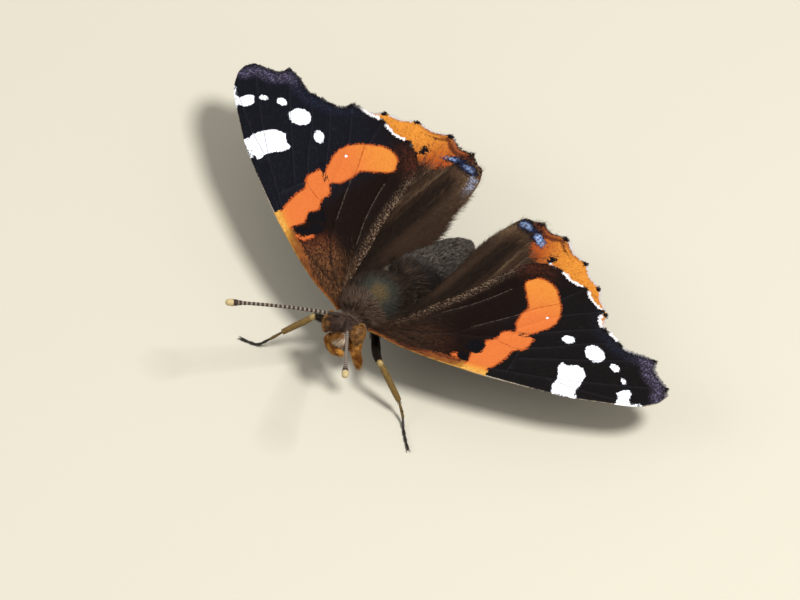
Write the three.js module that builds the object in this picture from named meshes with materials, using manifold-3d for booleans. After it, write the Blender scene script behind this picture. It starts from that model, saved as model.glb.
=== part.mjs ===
// Red admiral butterfly, Vanessa atalanta, life size, at rest with open wings.
// Millimetres. +Z is up from the floor, the head faces -Y, the animal's left is +X.
// The thorax leans head-up, the wings lie nearly level, the feet stand on the floor.
import * as THREE from 'three';
import Module from 'manifold-3d';

const wasm = await Module();
wasm.setup();
const { Manifold, Mesh } = wasm;

const DEG = Math.PI / 180;
const GAP = 0.3;

// Stance
const BODY_LEAN = 17.85 * DEG;
const HINGE_HEIGHT = 7.8;
const HINGE_HALF_SPREAD = 3.0;
const HEAD_CENTRE = [0.45, -2.5, 8.6];
const HEAD_YAW = 6 * DEG;
const HEAD_ROLL = 10 * DEG;

// Wing sheet: both wings of a side lie on one gently bent sheet
const SHEET_DIP = 1.2;
const SHEET_DIP_SPAN = 27;
const HINDWING_DROP = 0.85;
const HINDWING_ROOT = [-0.4, 2.5];
const HINDWING_FOLD_DEPTH = 1.1;
const HINDWING_FOLD_WIDTH = 2.8;
const HINDWING_FOLD_LINE = 2.5;
const HINDWING_FOLD_RANGE = [1.5, 8];
const FOREWING_SWEEP = { L: 27.2 * DEG, R: 28.2 * DEG };
const SHEET_RAISE = { L: 2.24 * DEG, R: 6.14 * DEG };
const SHEET_TILT = { L: -3.2 * DEG, R: 3.2 * DEG };
const WING_THICKNESS = 0.5;
const VEIN_RISE = 0.16;
const VEIN_HALF_WIDTH = 0.36;
const VEIN_STEP = 1.7;
const MARGIN_STEP = 0.95;
const MEMBRANE_STEP = 2.3;
const MEMBRANE_CLEARANCE = 1.0;
const VEIN_POINT_SPACING = 0.75;
const FLANK_POINT_SPACING = 0.45;
const VEIN_EDGE_CLEARANCE = 0.42;
const FLANK_CLEARANCE = 0.3;
const PLAN_BOX = [[-2, 32], [-4, 24]];
const SHAKE = 0.004;
const FAR = 1000;

// Forewing plan: u runs from the hinge to the wing tip, v runs to the rear
const FOREWING_COSTA = [[-1.2, -0.2], [0.3, -0.6], [2.4, -1.35], [4.8, -1.9], [7.3, -2.3], [9.5, -2.55], [11.8, -2.8],
  [16, -2.95], [19, -3], [21.5, -2.95], [23.5, -2.7], [27.2, -2.15], [28.8, -1.7], [29.7, -1.2],
  [30.5, -0.6], [31, 0.2]];
const FOREWING_MARGIN = {
  L: [[31, 0.2], [30.95, 1.4], [30, 2.55], [29.25, 3.5], [29.1, 4.7], [27.4, 5.1],
    [26.1, 5.2], [25, 5.75], [24.2, 6.6], [22.9, 7.3], [22.3, 8.3], [22.3, 9.5], [21, 10.75],
    [19.95, 12.1], [18.1, 12.85], [16.75, 13.9], [15, 14.15]],
  R: [[31, 0.2], [30.95, 1.4], [30, 2.55], [29.25, 3.5], [29.1, 4.8], [27.6, 5.4],
    [26.3, 5.6], [25.3, 6.05], [24.5, 6.95], [23.5, 7.65], [22.95, 8.7], [22.75, 9.95], [21.5, 10.95],
    [20.15, 12.05], [18.1, 12.85], [16.75, 13.9], [15, 14.15]],
};
const FOREWING_REAR = [[15, 14.15], [13.6, 13.8], [12, 12.7], [10.2, 10.8], [8.6, 9], [6.9, 7.2],
  [4.6, 5.1], [2.8, 3.2], [0.9, 1.9], [-0.9, 1.7]];
const FOREWING_VEINS = [
  [[0.9, 0.35], [2.3, 0.3], [4.2, -0.4], [6.8, -1.1], [9, -1.6], [11.6, -1.8], [14.2, -1.6], [18, -1.25],
    [22, -0.6], [26, 0.2], [30.9, 1.3]],
  [[18, -1.25], [23, -1.75], [28.4, -1.6]],
  [[14.2, -1.6], [14.7, 0.4], [14.8, 1.9], [13.4, 3.3]],
  [[14.7, 0.4], [19, 1.6], [23.6, 2.9], [29, 4.6]],
  [[14.8, 1.9], [18, 3], [21.5, 4.6], [25, 5.7]],
  [[13.4, 3.3], [14.7, 3.9], [16.7, 4.6], [19.8, 6], [23.2, 7.2]],
  [[12, 2.75], [15, 5.2], [18.1, 7.5], [22.3, 9.4]],
  [[7.5, 1.9], [10.2, 3.8], [13.7, 6.3], [17, 9.15], [19.9, 12]],
  [[1.2, 0.75], [3.1, 0.85], [4.7, 1.1], [7.5, 1.9], [10, 2.2], [12, 2.75], [13.4, 3.3]],
  [[1.2, 1.2], [4.5, 3.3], [6.6, 4.8], [8.6, 6.2], [10.9, 8.2], [12.7, 10], [16.7, 13.8]],
];

// Hindwing plan: u runs outward, v runs to the rear from the hindwing root
const HINDWING_COSTA = [[-0.2, -0.4], [1.2, -0.9], [4, -1.1], [8, -0.1], [12, 1.7], [15.2, 3.7], [17.4, 5.8]];
const HINDWING_MARGIN = [[17.4, 5.8], [18.7, 7.8], [18.9, 9.9], [18.3, 11.8], [18, 13.4], [16.9, 15],
  [16, 16.7], [14.4, 17.7], [13.2, 18.9], [11.4, 19.5], [10, 20.6], [8, 20.9], [6.2, 21.9], [4.5, 21.4],
  [3, 21.8], [2, 21.4], [1, 21.2]];
const HINDWING_REAR = {
  L: [[1, 21.2], [0.4, 20.1], [0, 18.4], [-0.3, 15.9], [-0.3, 14], [0.1, 12.2],
    [0.35, 9], [0.4, 5], [0.2, 1.5], [-0.2, 0.6]],
  R: [[1, 21.2], [0.4, 20.1], [0, 18.4], [-0.2, 16.2], [-0.45, 14.5], [-0.8, 13.2], [-0.95, 12.3],
    [-0.85, 11.2], [-0.6, 9.9], [-0.3, 8.4], [0.1, 6.2], [0.3, 4], [0.2, 1.5], [-0.2, 0.6]],
};
const HINDWING_VEINS = [
  [[0.8, 0.2], [4, 0.7], [8, 1.7], [13, 3.4], [17.5, 5.4]],
  [[4, 0.7], [7.2, 3.4], [12, 6.4], [18.7, 9.8]],
  [[7.2, 3.4], [7.9, 6.4], [12.6, 9.4], [17.9, 13.3]],
  [[7.9, 6.4], [7.5, 9], [11.5, 12.6], [15.9, 16.5]],
  [[7.5, 9], [6.2, 10.2], [9.6, 14.6], [13.1, 18.7]],
  [[6.2, 10.2], [4.8, 10.3], [7.6, 15.5], [9.9, 20.4]],
  [[0.9, 1.2], [2.2, 4.4], [3.4, 8.4], [4.8, 10.3]],
  [[3.4, 8.4], [5.1, 15], [6.2, 21.6]],
  [[0.8, 2], [1.9, 8], [2.2, 15], [3, 21.4]],
];

// Body stations: y, axis height above the floor, half width, half height
const THORAX = [[-1.0, 8.15, 0.95, 0.95], [-0.6, 8.2, 1.45, 1.45], [0.3, 8.15, 2.15, 2.15],
  [1.4, 7.95, 2.85, 2.75], [3, 7.7, 3.25, 3.15], [4.6, 7.25, 3, 2.95], [6, 6.75, 2.45, 2.45],
  [6.9, 6.4, 1.9, 1.95]];
const ABDOMEN = [[7.2, 6.4, 1.95, 2.0], [8.3, 5.95, 2.5, 2.5], [9.9, 5.3, 2.85, 2.8],
  [11.6, 4.7, 2.95, 2.85], [13.2, 4.12, 2.85, 2.7], [14.8, 3.55, 2.6, 2.4], [16.4, 3.05, 2.25, 2.05],
  [17.8, 2.65, 1.75, 1.65], [18.7, 2.45, 1.2, 1.15], [19.2, 2.35, 0.7, 0.7]];
const ABDOMEN_SEGMENT_EDGES = [8.9, 10.6, 12.3, 13.9, 15.4, 16.9];
const ABDOMEN_GROOVE = 0.06;
const GROOVE_HALF_WIDTH = 0.15;
const ABDOMEN_STEP = 1.2;
const THORAX_STEP = 0.8;
const THORAX_SIDES = 24;
const ABDOMEN_SIDES = 24;

// Head, in its own frame: x to the left, y to the rear, z up from the head's centre
const HEAD_RADII = [1.9, 1.35, 1.5];
const EYE_CENTRE = [1.75, -0.2, 0.05];
const EYE_RADII = [0.8, 0.96, 1.1];
const ANTENNA_ROOT = [0.62, -0.2, 1.35];
const ANTENNA_LENGTH = 14;
const ANTENNA_SCAPE = { L: 0.25, R: 0.5 };
const ANTENNA_YAW = { L: 37.8 * DEG, R: 33.3 * DEG };
const ANTENNA_PITCH = { L: 27.6 * DEG, R: 25.5 * DEG };
const ANTENNA_BEND = 0.35;
const ANTENNA_PROFILE = [[0, 0.28], [0.04, 0.25], [0.3, 0.25], [0.5, 0.25], [0.76, 0.25], [0.84, 0.27],
  [0.89, 0.36], [0.94, 0.44], [0.975, 0.4], [1, 0.2]];
const ANTENNA_SIDES = 10;
const PALP_PATH = {
  L: [[1.15, -0.65, -1.1], [1.95, -1.15, -1.8], [2.3, -1.4, -2.55], [2.4, -1.5, -3.15]],
  R: [[-1.2, -0.75, -1.0], [-1.15, -1.45, -1.2], [-0.35, -2.0, -1.5], [0.6, -2.15, -1.65]],
};
const PALP_RADII = [0.45, 0.6, 0.54, 0.25];
const PALP_SIDES = 12;
const COIL_POINTS = 14;
const COIL_SIDES = 8;
const EYE_ROWS = 12;
const EYE_SIDES = 18;
const HEAD_ROWS = 14;
const HEAD_SIDES = 24;
const PROBOSCIS_CENTRE = [0.15, -0.15, -2.55];
const PROBOSCIS_TURNS = 0.85;
const PROBOSCIS_COIL = [0.72, 0.3];
const PROBOSCIS_TUBE = 0.25;
const EYE_SOCKET_GAP = 0.12;

// Legs: points from the hip to the foot, then the radius at each point
const LEG_RADII = [0.62, 0.5, 0.46, 0.38, 0.32, 0.29, 0.26, 0.26, 0.25, 0.25];
const MIDLEG = {
  L: [[1.3, 1.8, 5.6], [1.9, 1.0, 4.9], [3.6, -0.8, 5.3], [4.69, -1.72, 5.8], [5.6, -1.8, 4.9],
    [7.9, -1.95, 2.1], [8.95, -2.45, 0.95], [9.75, -3.2, 0.25], [10.9, -4.2, 0.2], [12, -5.05, 0.2]],
  R: [[-1.3, 1.8, 5.6], [-1.9, 0.9, 4.8], [-3.3, -1, 5.2], [-4.14, -1.8, 5.8], [-4.95, -2.55, 4.85],
    [-6.55, -4, 3], [-7.6, -4.9, 1.6], [-8.6, -5.4, 0.35], [-9.5, -5.75, 0.2], [-10.5, -6, 0.2]],
};
const HINDLEG = {
  L: [[1.2, 4.4, 4.9], [2, 5.2, 3.9], [4.2, 6.8, 4.3], [5.3, 7.7, 4.6], [5.9, 8.7, 3.8],
    [7.5, 11.2, 1.7], [8.1, 12.1, 0.9], [8.7, 13, 0.3], [9.3, 13.8, 0.2], [10, 14.8, 0.2]],
  R: [[-1.2, 4.4, 4.9], [-2, 5.2, 3.9], [-4.1, 6.9, 4.3], [-5.1, 7.8, 4.6], [-5.7, 8.8, 3.8],
    [-7.2, 11.4, 1.7], [-7.7, 12.3, 0.9], [-8.2, 13.2, 0.3], [-8.7, 14, 0.2], [-9.3, 15, 0.2]],
};
const FORELEG = [[0.95, 0.1, 6.7], [1.2, -0.75, 6], [1.3, -1.2, 5], [1.15, -0.95, 4.1]];
const FORELEG_RADII = [0.42, 0.46, 0.5, 0.28];
const LEG_SIDES = 9;

// Colours of the surfaces
const INK = { color: 0x1b1a20, roughness: 0.62, metalness: 0 };
const UMBER = { color: 0x3a271d, roughness: 0.75, metalness: 0 };
const FUR_GREY = { color: 0x37342e, roughness: 0.92, metalness: 0 };
const FUR_OLIVE = { color: 0x4a4436, roughness: 0.9, metalness: 0 };
const EYE_BROWN = { color: 0x4b2f1c, roughness: 0.3, metalness: 0 };
const ORANGE_BROWN = { color: 0xa8662c, roughness: 0.85, metalness: 0 };
const TAN = { color: 0xc2a352, roughness: 0.6, metalness: 0 };
const HORN = { color: 0x6b6258, roughness: 0.55, metalness: 0 };

// Vector helpers
const add = (a, b) => a.map((x, i) => x + b[i]);
const sub = (a, b) => a.map((x, i) => x - b[i]);
const scale = (a, s) => a.map((x) => x * s);
const dot = (a, b) => a.reduce((sum, x, i) => sum + x * b[i], 0);
const length = (a) => Math.sqrt(dot(a, a));
const unit = (a) => scale(a, 1 / length(a));
const cross = (a, b) => [a[1] * b[2] - a[2] * b[1], a[2] * b[0] - a[0] * b[2], a[0] * b[1] - a[1] * b[0]];
const mirrorX = (p) => [-p[0], ...p.slice(1)];
const smooth = (a, b, x) => {
  const t = Math.min(1, Math.max(0, (x - a) / (b - a)));
  return t * t * (3 - 2 * t);
};

function rotateX(p, a) {
  return [p[0], p[1] * Math.cos(a) - p[2] * Math.sin(a), p[1] * Math.sin(a) + p[2] * Math.cos(a)];
}

function rotateY(p, a) {
  return [p[0] * Math.cos(a) + p[2] * Math.sin(a), p[1], -p[0] * Math.sin(a) + p[2] * Math.cos(a)];
}

function rotateZ(p, a) {
  return [p[0] * Math.cos(a) - p[1] * Math.sin(a), p[0] * Math.sin(a) + p[1] * Math.cos(a), p[2]];
}

// A smooth value between rows of stations
function between(rows, y) {
  const last = rows.length - 1;
  if (y <= rows[0][0]) return rows[0].slice(1);
  if (y >= rows[last][0]) return rows[last].slice(1);
  const i = rows.findIndex((row, k) => k < last && y <= rows[k + 1][0]);
  const p0 = rows[Math.max(0, i - 1)];
  const p1 = rows[i];
  const p2 = rows[i + 1];
  const p3 = rows[Math.min(last, i + 2)];
  const t = (y - p1[0]) / (p2[0] - p1[0]);
  const step = p2[0] - p1[0];
  return p1.slice(1).map((v, k) => {
    const a = p1[k + 1];
    const b = p2[k + 1];
    const m1 = p2[0] === p0[0] ? 0 : ((b - p0[k + 1]) / (p2[0] - p0[0])) * step;
    const m2 = p3[0] === p1[0] ? 0 : ((p3[k + 1] - a) / (p3[0] - p1[0])) * step;
    const t2 = t * t;
    const t3 = t2 * t;
    return (2 * t3 - 3 * t2 + 1) * a + (t3 - 2 * t2 + t) * m1 + (3 * t2 - 2 * t3) * b + (t3 - t2) * m2;
  });
}

// Solids are kept as { points, faces } until they become nodes
function toManifold(solid) {
  const mesh = new Mesh({
    numProp: 3,
    vertProperties: new Float32Array(solid.points.flat()),
    triVerts: new Uint32Array(solid.faces.flat()),
  });
  return new Manifold(mesh);
}

function largest(manifold) {
  const pieces = manifold.decompose();
  return pieces.reduce((best, piece) => (piece.volume() > best.volume() ? piece : best), pieces[0]);
}

function cutAway(solid, ...others) {
  return others.reduce((rest, other) => rest.subtract(other), toManifold(solid));
}

// A closed skin over rings that all have the same number of points
function ringSolid(rings) {
  const sides = rings[0].length;
  const points = rings.flat();
  const faces = [];
  const at = (i, k) => i * sides + ((k + sides) % sides);
  for (let i = 0; i + 1 < rings.length; i += 1) {
    for (let k = 0; k < sides; k += 1) {
      faces.push([at(i, k), at(i, k + 1), at(i + 1, k + 1)]);
      faces.push([at(i, k), at(i + 1, k + 1), at(i + 1, k)]);
    }
  }
  const end = rings.length - 1;
  for (let k = 1; k + 1 < sides; k += 1) {
    faces.push([at(0, 0), at(0, k + 1), at(0, k)]);
    faces.push([at(end, 0), at(end, k), at(end, k + 1)]);
  }
  return { points, faces };
}

// Body of stations along the y axis, grown by a clearance when asked
function stationBody(rows, sides, cuts, grow = 0) {
  const rings = cuts.map(([y, swell]) => {
    const [z, halfWidth, halfHeight] = between(rows, y);
    return Array.from({ length: sides }, (_, k) => {
      const a = (k / sides) * 2 * Math.PI;
      return [(halfWidth + swell + grow) * Math.sin(a), y, z + (halfHeight + swell + grow) * Math.cos(a)];
    });
  });
  if (grow > 0) {
    rings[0] = rings[0].map((p) => [p[0], p[1] - grow, p[2]]);
    rings[rings.length - 1] = rings[rings.length - 1].map((p) => [p[0], p[1] + grow, p[2]]);
  }
  return ringSolid(rings);
}

function plainCuts(rows, step) {
  const first = rows[0][0];
  const span = rows[rows.length - 1][0] - first;
  const count = Math.round(span / step);
  return Array.from({ length: count + 1 }, (_, i) => [first + (span * i) / count, 0]);
}

function segmentCuts(rows, edges) {
  const clear = (y) => edges.every((edge) => Math.abs(edge - y) > 2 * GROOVE_HALF_WIDTH);
  const cuts = plainCuts(rows, ABDOMEN_STEP).filter(([y]) => clear(y));
  edges.forEach((edge) => {
    cuts.push([edge - GROOVE_HALF_WIDTH, ABDOMEN_GROOVE], [edge + GROOVE_HALF_WIDTH, -ABDOMEN_GROOVE]);
  });
  return cuts.sort((a, b) => a[0] - b[0]);
}

function ellipsoid(centre, radii, rows, sides, grow = 0) {
  const rings = [];
  for (let i = 1; i < rows; i += 1) {
    const a = (i / rows) * Math.PI;
    rings.push(Array.from({ length: sides }, (_, k) => {
      const b = (k / sides) * 2 * Math.PI;
      return [
        centre[0] + (radii[0] + grow) * Math.sin(a) * Math.cos(b),
        centre[1] + (radii[1] + grow) * Math.sin(a) * Math.sin(b),
        centre[2] - (radii[2] + grow) * Math.cos(a),
      ];
    }));
  }
  const solid = ringSolid(rings);
  const capFaces = 2 * (sides - 2);
  solid.faces.splice(solid.faces.length - capFaces, capFaces);
  const south = solid.points.length;
  solid.points.push([centre[0], centre[1], centre[2] - radii[2] - grow]);
  solid.points.push([centre[0], centre[1], centre[2] + radii[2] + grow]);
  const top = (rings.length - 1) * sides;
  for (let k = 0; k < sides; k += 1) {
    const next = (k + 1) % sides;
    solid.faces.push([south, next, k]);
    solid.faces.push([south + 1, top + k, top + next]);
  }
  return solid;
}

// Tube through points with a radius at each, flattened where it rests on the floor
function tube(path, radii, sides) {
  let side = null;
  const rings = path.map((p, i) => {
    const before = path[Math.max(0, i - 1)];
    const after = path[Math.min(path.length - 1, i + 1)];
    const arriving = i > 0 ? unit(sub(p, before)) : [0, 0, 0];
    const leaving = i + 1 < path.length ? unit(sub(after, p)) : [0, 0, 0];
    const along = unit(add(arriving, leaving));
    if (side === null) {
      side = Math.abs(along[2]) > 0.9 ? [1, 0, 0] : [0, 0, 1];
    }
    side = unit(sub(side, scale(along, dot(side, along))));
    const other = cross(along, side);
    return Array.from({ length: sides }, (_, k) => {
      const a = (k / sides) * 2 * Math.PI;
      const q = add(p, add(scale(side, radii[i] * Math.cos(a)), scale(other, radii[i] * Math.sin(a))));
      return [q[0], q[1], Math.max(0, q[2])];
    });
  });
  return ringSolid(rings);
}

// Even points along a polyline
function resample(line, step) {
  const total = line.slice(1).reduce((sum, p, i) => sum + length(sub(p, line[i])), 0);
  const count = Math.max(1, Math.round(total / step));
  const out = [];
  for (let n = 0; n <= count; n += 1) {
    let rest = (total * n) / count;
    let i = 0;
    while (i + 2 < line.length && rest > length(sub(line[i + 1], line[i]))) {
      rest -= length(sub(line[i + 1], line[i]));
      i += 1;
    }
    const leg = length(sub(line[i + 1], line[i]));
    out.push(add(line[i], scale(sub(line[i + 1], line[i]), Math.min(1, rest / leg))));
  }
  return out;
}

function inside(p, loop) {
  let odd = false;
  for (let i = 0, j = loop.length - 1; i < loop.length; j = i, i += 1) {
    const [xi, yi] = loop[i];
    const [xj, yj] = loop[j];
    if ((yi > p[1]) !== (yj > p[1]) && p[0] < ((xj - xi) * (p[1] - yi)) / (yj - yi) + xi) odd = !odd;
  }
  return odd;
}

function edgeDistance(p, a, b) {
  const ab = sub(b, a);
  const t = Math.min(1, Math.max(0, dot(sub(p, a), ab) / dot(ab, ab)));
  return length(sub(p, add(a, scale(ab, t))));
}

function loopDistance(p, loop) {
  return Math.min(...loop.map((a, i) => edgeDistance(p, a, loop[(i + 1) % loop.length])));
}

// Delaunay triangles of plane points
function delaunay(points) {
  const n = points.length;
  const all = [...points, [-FAR, -FAR], [FAR, -FAR], [0, FAR]];
  const circle = (t) => {
    const [a, b, c] = t.map((i) => all[i]);
    const d = 2 * (a[0] * (b[1] - c[1]) + b[0] * (c[1] - a[1]) + c[0] * (a[1] - b[1]));
    const [aa, bb, cc] = [dot(a, a), dot(b, b), dot(c, c)];
    const x = (aa * (b[1] - c[1]) + bb * (c[1] - a[1]) + cc * (a[1] - b[1])) / d;
    const y = (aa * (c[0] - b[0]) + bb * (a[0] - c[0]) + cc * (b[0] - a[0])) / d;
    return { t, x, y, r: (a[0] - x) ** 2 + (a[1] - y) ** 2 };
  };
  let triangles = [circle([n, n + 1, n + 2])];
  points.forEach((p, i) => {
    const hit = triangles.filter((c) => (p[0] - c.x) ** 2 + (p[1] - c.y) ** 2 < c.r);
    const edges = new Map();
    hit.forEach(({ t }) => [[t[0], t[1]], [t[1], t[2]], [t[2], t[0]]].forEach(([a, b]) => {
      const key = a < b ? `${a},${b}` : `${b},${a}`;
      edges.set(key, edges.has(key) ? null : [a, b]);
    }));
    triangles = triangles.filter((c) => !hit.includes(c));
    edges.forEach((edge) => {
      if (edge) triangles.push(circle([edge[0], edge[1], i]));
    });
  });
  return triangles.map((c) => c.t).filter((t) => t.every((i) => i < n));
}

// A tiny fixed offset keeps rows of points off one circle
const shake = (p, i) => [p[0] + SHAKE * Math.sin(12.9 * i + 1), p[1] + SHAKE * Math.cos(7.7 * i)];

function wingPlan(outline, veins) {
  let loop = outline;
  const line = [];
  const flank = [];
  veins.forEach((vein) => {
    const centres = resample(vein, VEIN_STEP);
    centres.forEach((p, i) => {
      if (!inside(p, loop) || loopDistance(p, loop) < VEIN_EDGE_CLEARANCE) return;
      if (line.every((q) => length(sub(q, p)) > VEIN_POINT_SPACING)) line.push(p);
      const ahead = unit(sub(centres[Math.min(i + 1, centres.length - 1)], centres[Math.max(i - 1, 0)]));
      [1, -1].forEach((s) => {
        flank.push([p[0] - s * ahead[1] * VEIN_HALF_WIDTH, p[1] + s * ahead[0] * VEIN_HALF_WIDTH]);
      });
    });
  });
  const veinDistance = (p) => Math.min(...veins.map((vein) => Math.min(
    ...vein.slice(1).map((b, i) => edgeDistance(p, vein[i], b)))));
  const beside = [];
  flank.forEach((p) => {
    if (!inside(p, loop)) return;
    if (Math.min(loopDistance(p, loop), veinDistance(p)) < FLANK_CLEARANCE) return;
    if (beside.every((q) => length(sub(q, p)) > FLANK_POINT_SPACING)) beside.push(p);
  });
  const field = [];
  const [across, down] = PLAN_BOX;
  for (let x = across[0]; x < across[1]; x += MEMBRANE_STEP) {
    for (let y = down[0]; y < down[1]; y += MEMBRANE_STEP) {
      const p = [x + ((Math.round(y / MEMBRANE_STEP) % 2) * MEMBRANE_STEP) / 2, y];
      const clear = [...line, ...beside].every((q) => length(sub(q, p)) > MEMBRANE_CLEARANCE);
      if (inside(p, loop) && loopDistance(p, loop) > MEMBRANE_CLEARANCE && clear) field.push(p);
    }
  }
  for (let round = 0; round < 6; round += 1) {
    const points = [...loop, ...line, ...beside, ...field].map(shake);
    const rim = points.slice(0, loop.length);
    const raised = points.map((_, i) => i >= loop.length && i < loop.length + line.length);
    const triangles = delaunay(points);
    const edges = new Set(triangles.flatMap((t) => [[t[0], t[1]], [t[1], t[2]], [t[2], t[0]]])
      .map(([a, b]) => (a < b ? `${a},${b}` : `${b},${a}`)));
    const missing = rim.map((_, i) => i).filter((i) => {
      const j = (i + 1) % rim.length;
      return !edges.has(i < j ? `${i},${j}` : `${j},${i}`);
    });
    if (missing.length === 0) {
      const centre = ([a, b, c]) => scale(add(add(points[a], points[b]), points[c]), 1 / 3);
      const kept = triangles.filter((t) => inside(centre(t), rim));
      return { points, raised, rimCount: rim.length, triangles: kept };
    }
    const halved = (p, i) => [p, scale(add(p, loop[(i + 1) % loop.length]), 0.5)];
    loop = loop.flatMap((p, i) => (missing.includes(i) ? halved(p, i) : [p]));
  }
  throw new Error('The wing outline has gaps.');
}

// Height of the bent sheet, and of the fold beside the abdomen
const sheetHeight = (x) => -SHEET_DIP * (x / SHEET_DIP_SPAN) ** 2;
function foldDrop(u, v) {
  const inward = Math.max(0, HINDWING_FOLD_LINE - u) / HINDWING_FOLD_WIDTH;
  return HINDWING_FOLD_DEPTH * inward ** 2 * smooth(...HINDWING_FOLD_RANGE, v);
}

function onSheet(side, p) {
  const tilted = rotateX(p, BODY_LEAN + SHEET_TILT[side]);
  const raised = rotateX(rotateY(tilted, -SHEET_RAISE[side]), -BODY_LEAN);
  const placed = add(raised, [HINGE_HALF_SPREAD, 0, HINGE_HEIGHT]);
  return side === 'L' ? placed : mirrorX(placed);
}

const forewingPoint = (side) => ([u, v], lift) => {
  const [x, y] = rotateZ([u, v, 0], FOREWING_SWEEP[side]);
  return onSheet(side, [x, y, sheetHeight(x) + lift]);
};

const hindwingPoint = (side) => ([u, v], lift) => {
  const x = u + HINDWING_ROOT[0];
  const height = sheetHeight(x) - HINDWING_DROP - foldDrop(u, v);
  return onSheet(side, [x, v + HINDWING_ROOT[1], height + lift]);
};

function wingSolid(plan, place, side) {
  const n = plan.points.length;
  const half = WING_THICKNESS / 2;
  const points = [
    ...plan.points.map((p, i) => place(p, half + (plan.raised[i] ? VEIN_RISE : 0))),
    ...plan.points.map((p) => place(p, -half)),
  ];
  const faces = [];
  const turn = (t) => {
    const [a, b, c] = t.map((i) => plan.points[i]);
    return (b[0] - a[0]) * (c[1] - a[1]) - (b[1] - a[1]) * (c[0] - a[0]) > 0 ? t : [t[0], t[2], t[1]];
  };
  plan.triangles.map(turn).forEach(([a, b, c]) => {
    faces.push([a, b, c], [n + a, n + c, n + b]);
  });
  const area = plan.points.slice(0, plan.rimCount).reduce((sum, p, i) => {
    const q = plan.points[(i + 1) % plan.rimCount];
    return sum + p[0] * q[1] - q[0] * p[1];
  }, 0);
  for (let i = 0; i < plan.rimCount; i += 1) {
    const j = (i + 1) % plan.rimCount;
    const [a, b] = area > 0 ? [i, j] : [j, i];
    faces.push([a, n + b, b], [a, n + a, n + b]);
  }
  return { points, faces: side === 'L' ? faces : faces.map(([a, b, c]) => [a, c, b]) };
}

// Even points along one side of an outline, without its last one
const evenly = (line) => resample(line, MARGIN_STEP).slice(0, -1);

// Every key point of the scalloped margin stays a corner
const scalloped = (line) => line.slice(0, -1).flatMap((p, i) => {
  const q = line[i + 1];
  return length(sub(q, p)) > 1.5 * MARGIN_STEP ? [p, scale(add(p, q), 0.5)] : [p];
});

// The rear line runs on to its last point, where the wing's root closes the loop
function wingOutline(costa, margin, rear) {
  return [...evenly(costa), ...scalloped(margin), ...evenly(rear), rear[rear.length - 1]];
}

function forewingPlan(side) {
  return wingPlan(wingOutline(FOREWING_COSTA, FOREWING_MARGIN[side], FOREWING_REAR), FOREWING_VEINS);
}

// The right hindwing reaches further in, over the flank of the abdomen
function hindwingPlan(side) {
  return wingPlan(wingOutline(HINDWING_COSTA, HINDWING_MARGIN, HINDWING_REAR[side]), HINDWING_VEINS);
}

// Nodes
const group = new THREE.Group();
group.name = 'red_admiral';

function addNode(name, manifold, look) {
  const { vertProperties, triVerts, numProp } = largest(manifold).getMesh();
  const geometry = new THREE.BufferGeometry();
  const positions = new Float32Array((vertProperties.length / numProp) * 3);
  for (let i = 0; i * numProp < vertProperties.length; i += 1) {
    for (let k = 0; k < 3; k += 1) positions[3 * i + k] = vertProperties[numProp * i + k];
  }
  geometry.setAttribute('position', new THREE.BufferAttribute(positions, 3));
  geometry.setIndex(new THREE.BufferAttribute(new Uint32Array(triVerts), 1));
  geometry.computeVertexNormals();
  const mesh = new THREE.Mesh(geometry, new THREE.MeshStandardMaterial(look));
  mesh.name = name;
  group.add(mesh);
}

const thoraxCuts = plainCuts(THORAX, THORAX_STEP);
const thoraxRoom = toManifold(stationBody(THORAX, THORAX_SIDES, thoraxCuts, GAP));
addNode('thorax', toManifold(stationBody(THORAX, THORAX_SIDES, thoraxCuts)), FUR_OLIVE);

const abdomenCuts = segmentCuts(ABDOMEN, ABDOMEN_SEGMENT_EDGES);
const abdomenRoom = toManifold(stationBody(ABDOMEN, ABDOMEN_SIDES, abdomenCuts, GAP));
addNode('abdomen', cutAway(stationBody(ABDOMEN, ABDOMEN_SIDES, abdomenCuts), thoraxRoom), FUR_GREY);

const inHead = (p) => add(HEAD_CENTRE, rotateZ(rotateY(p, -HEAD_ROLL), HEAD_YAW));
const onHead = (solid) => ({ points: solid.points.map(inHead), faces: solid.faces });

function eyeSolid(s, grow) {
  const centre = [s * EYE_CENTRE[0], EYE_CENTRE[1], EYE_CENTRE[2]];
  return onHead(ellipsoid(centre, EYE_RADII, EYE_ROWS, EYE_SIDES, grow));
}

const eyeRooms = [1, -1].map((s) => toManifold(eyeSolid(s, EYE_SOCKET_GAP)));
const headRoom = toManifold(onHead(ellipsoid([0, 0, 0], HEAD_RADII, HEAD_ROWS, HEAD_SIDES, GAP)));
const skull = onHead(ellipsoid([0, 0, 0], HEAD_RADII, HEAD_ROWS, HEAD_SIDES));
addNode('head', cutAway(skull, thoraxRoom, ...eyeRooms), FUR_GREY);

// The proboscis is coiled between the palps, below the head
function coilPath() {
  return Array.from({ length: COIL_POINTS + 1 }, (_, i) => {
    const t = i / COIL_POINTS;
    const a = 2 * Math.PI * PROBOSCIS_TURNS * t;
    const r = PROBOSCIS_COIL[0] + (PROBOSCIS_COIL[1] - PROBOSCIS_COIL[0]) * t;
    return inHead(add(PROBOSCIS_CENTRE, [0, -r * Math.sin(a), r * Math.cos(a)]));
  });
}

const coil = tube(coilPath(), Array(COIL_POINTS + 1).fill(PROBOSCIS_TUBE), COIL_SIDES);
addNode('proboscis', cutAway(coil, headRoom), UMBER);

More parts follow.
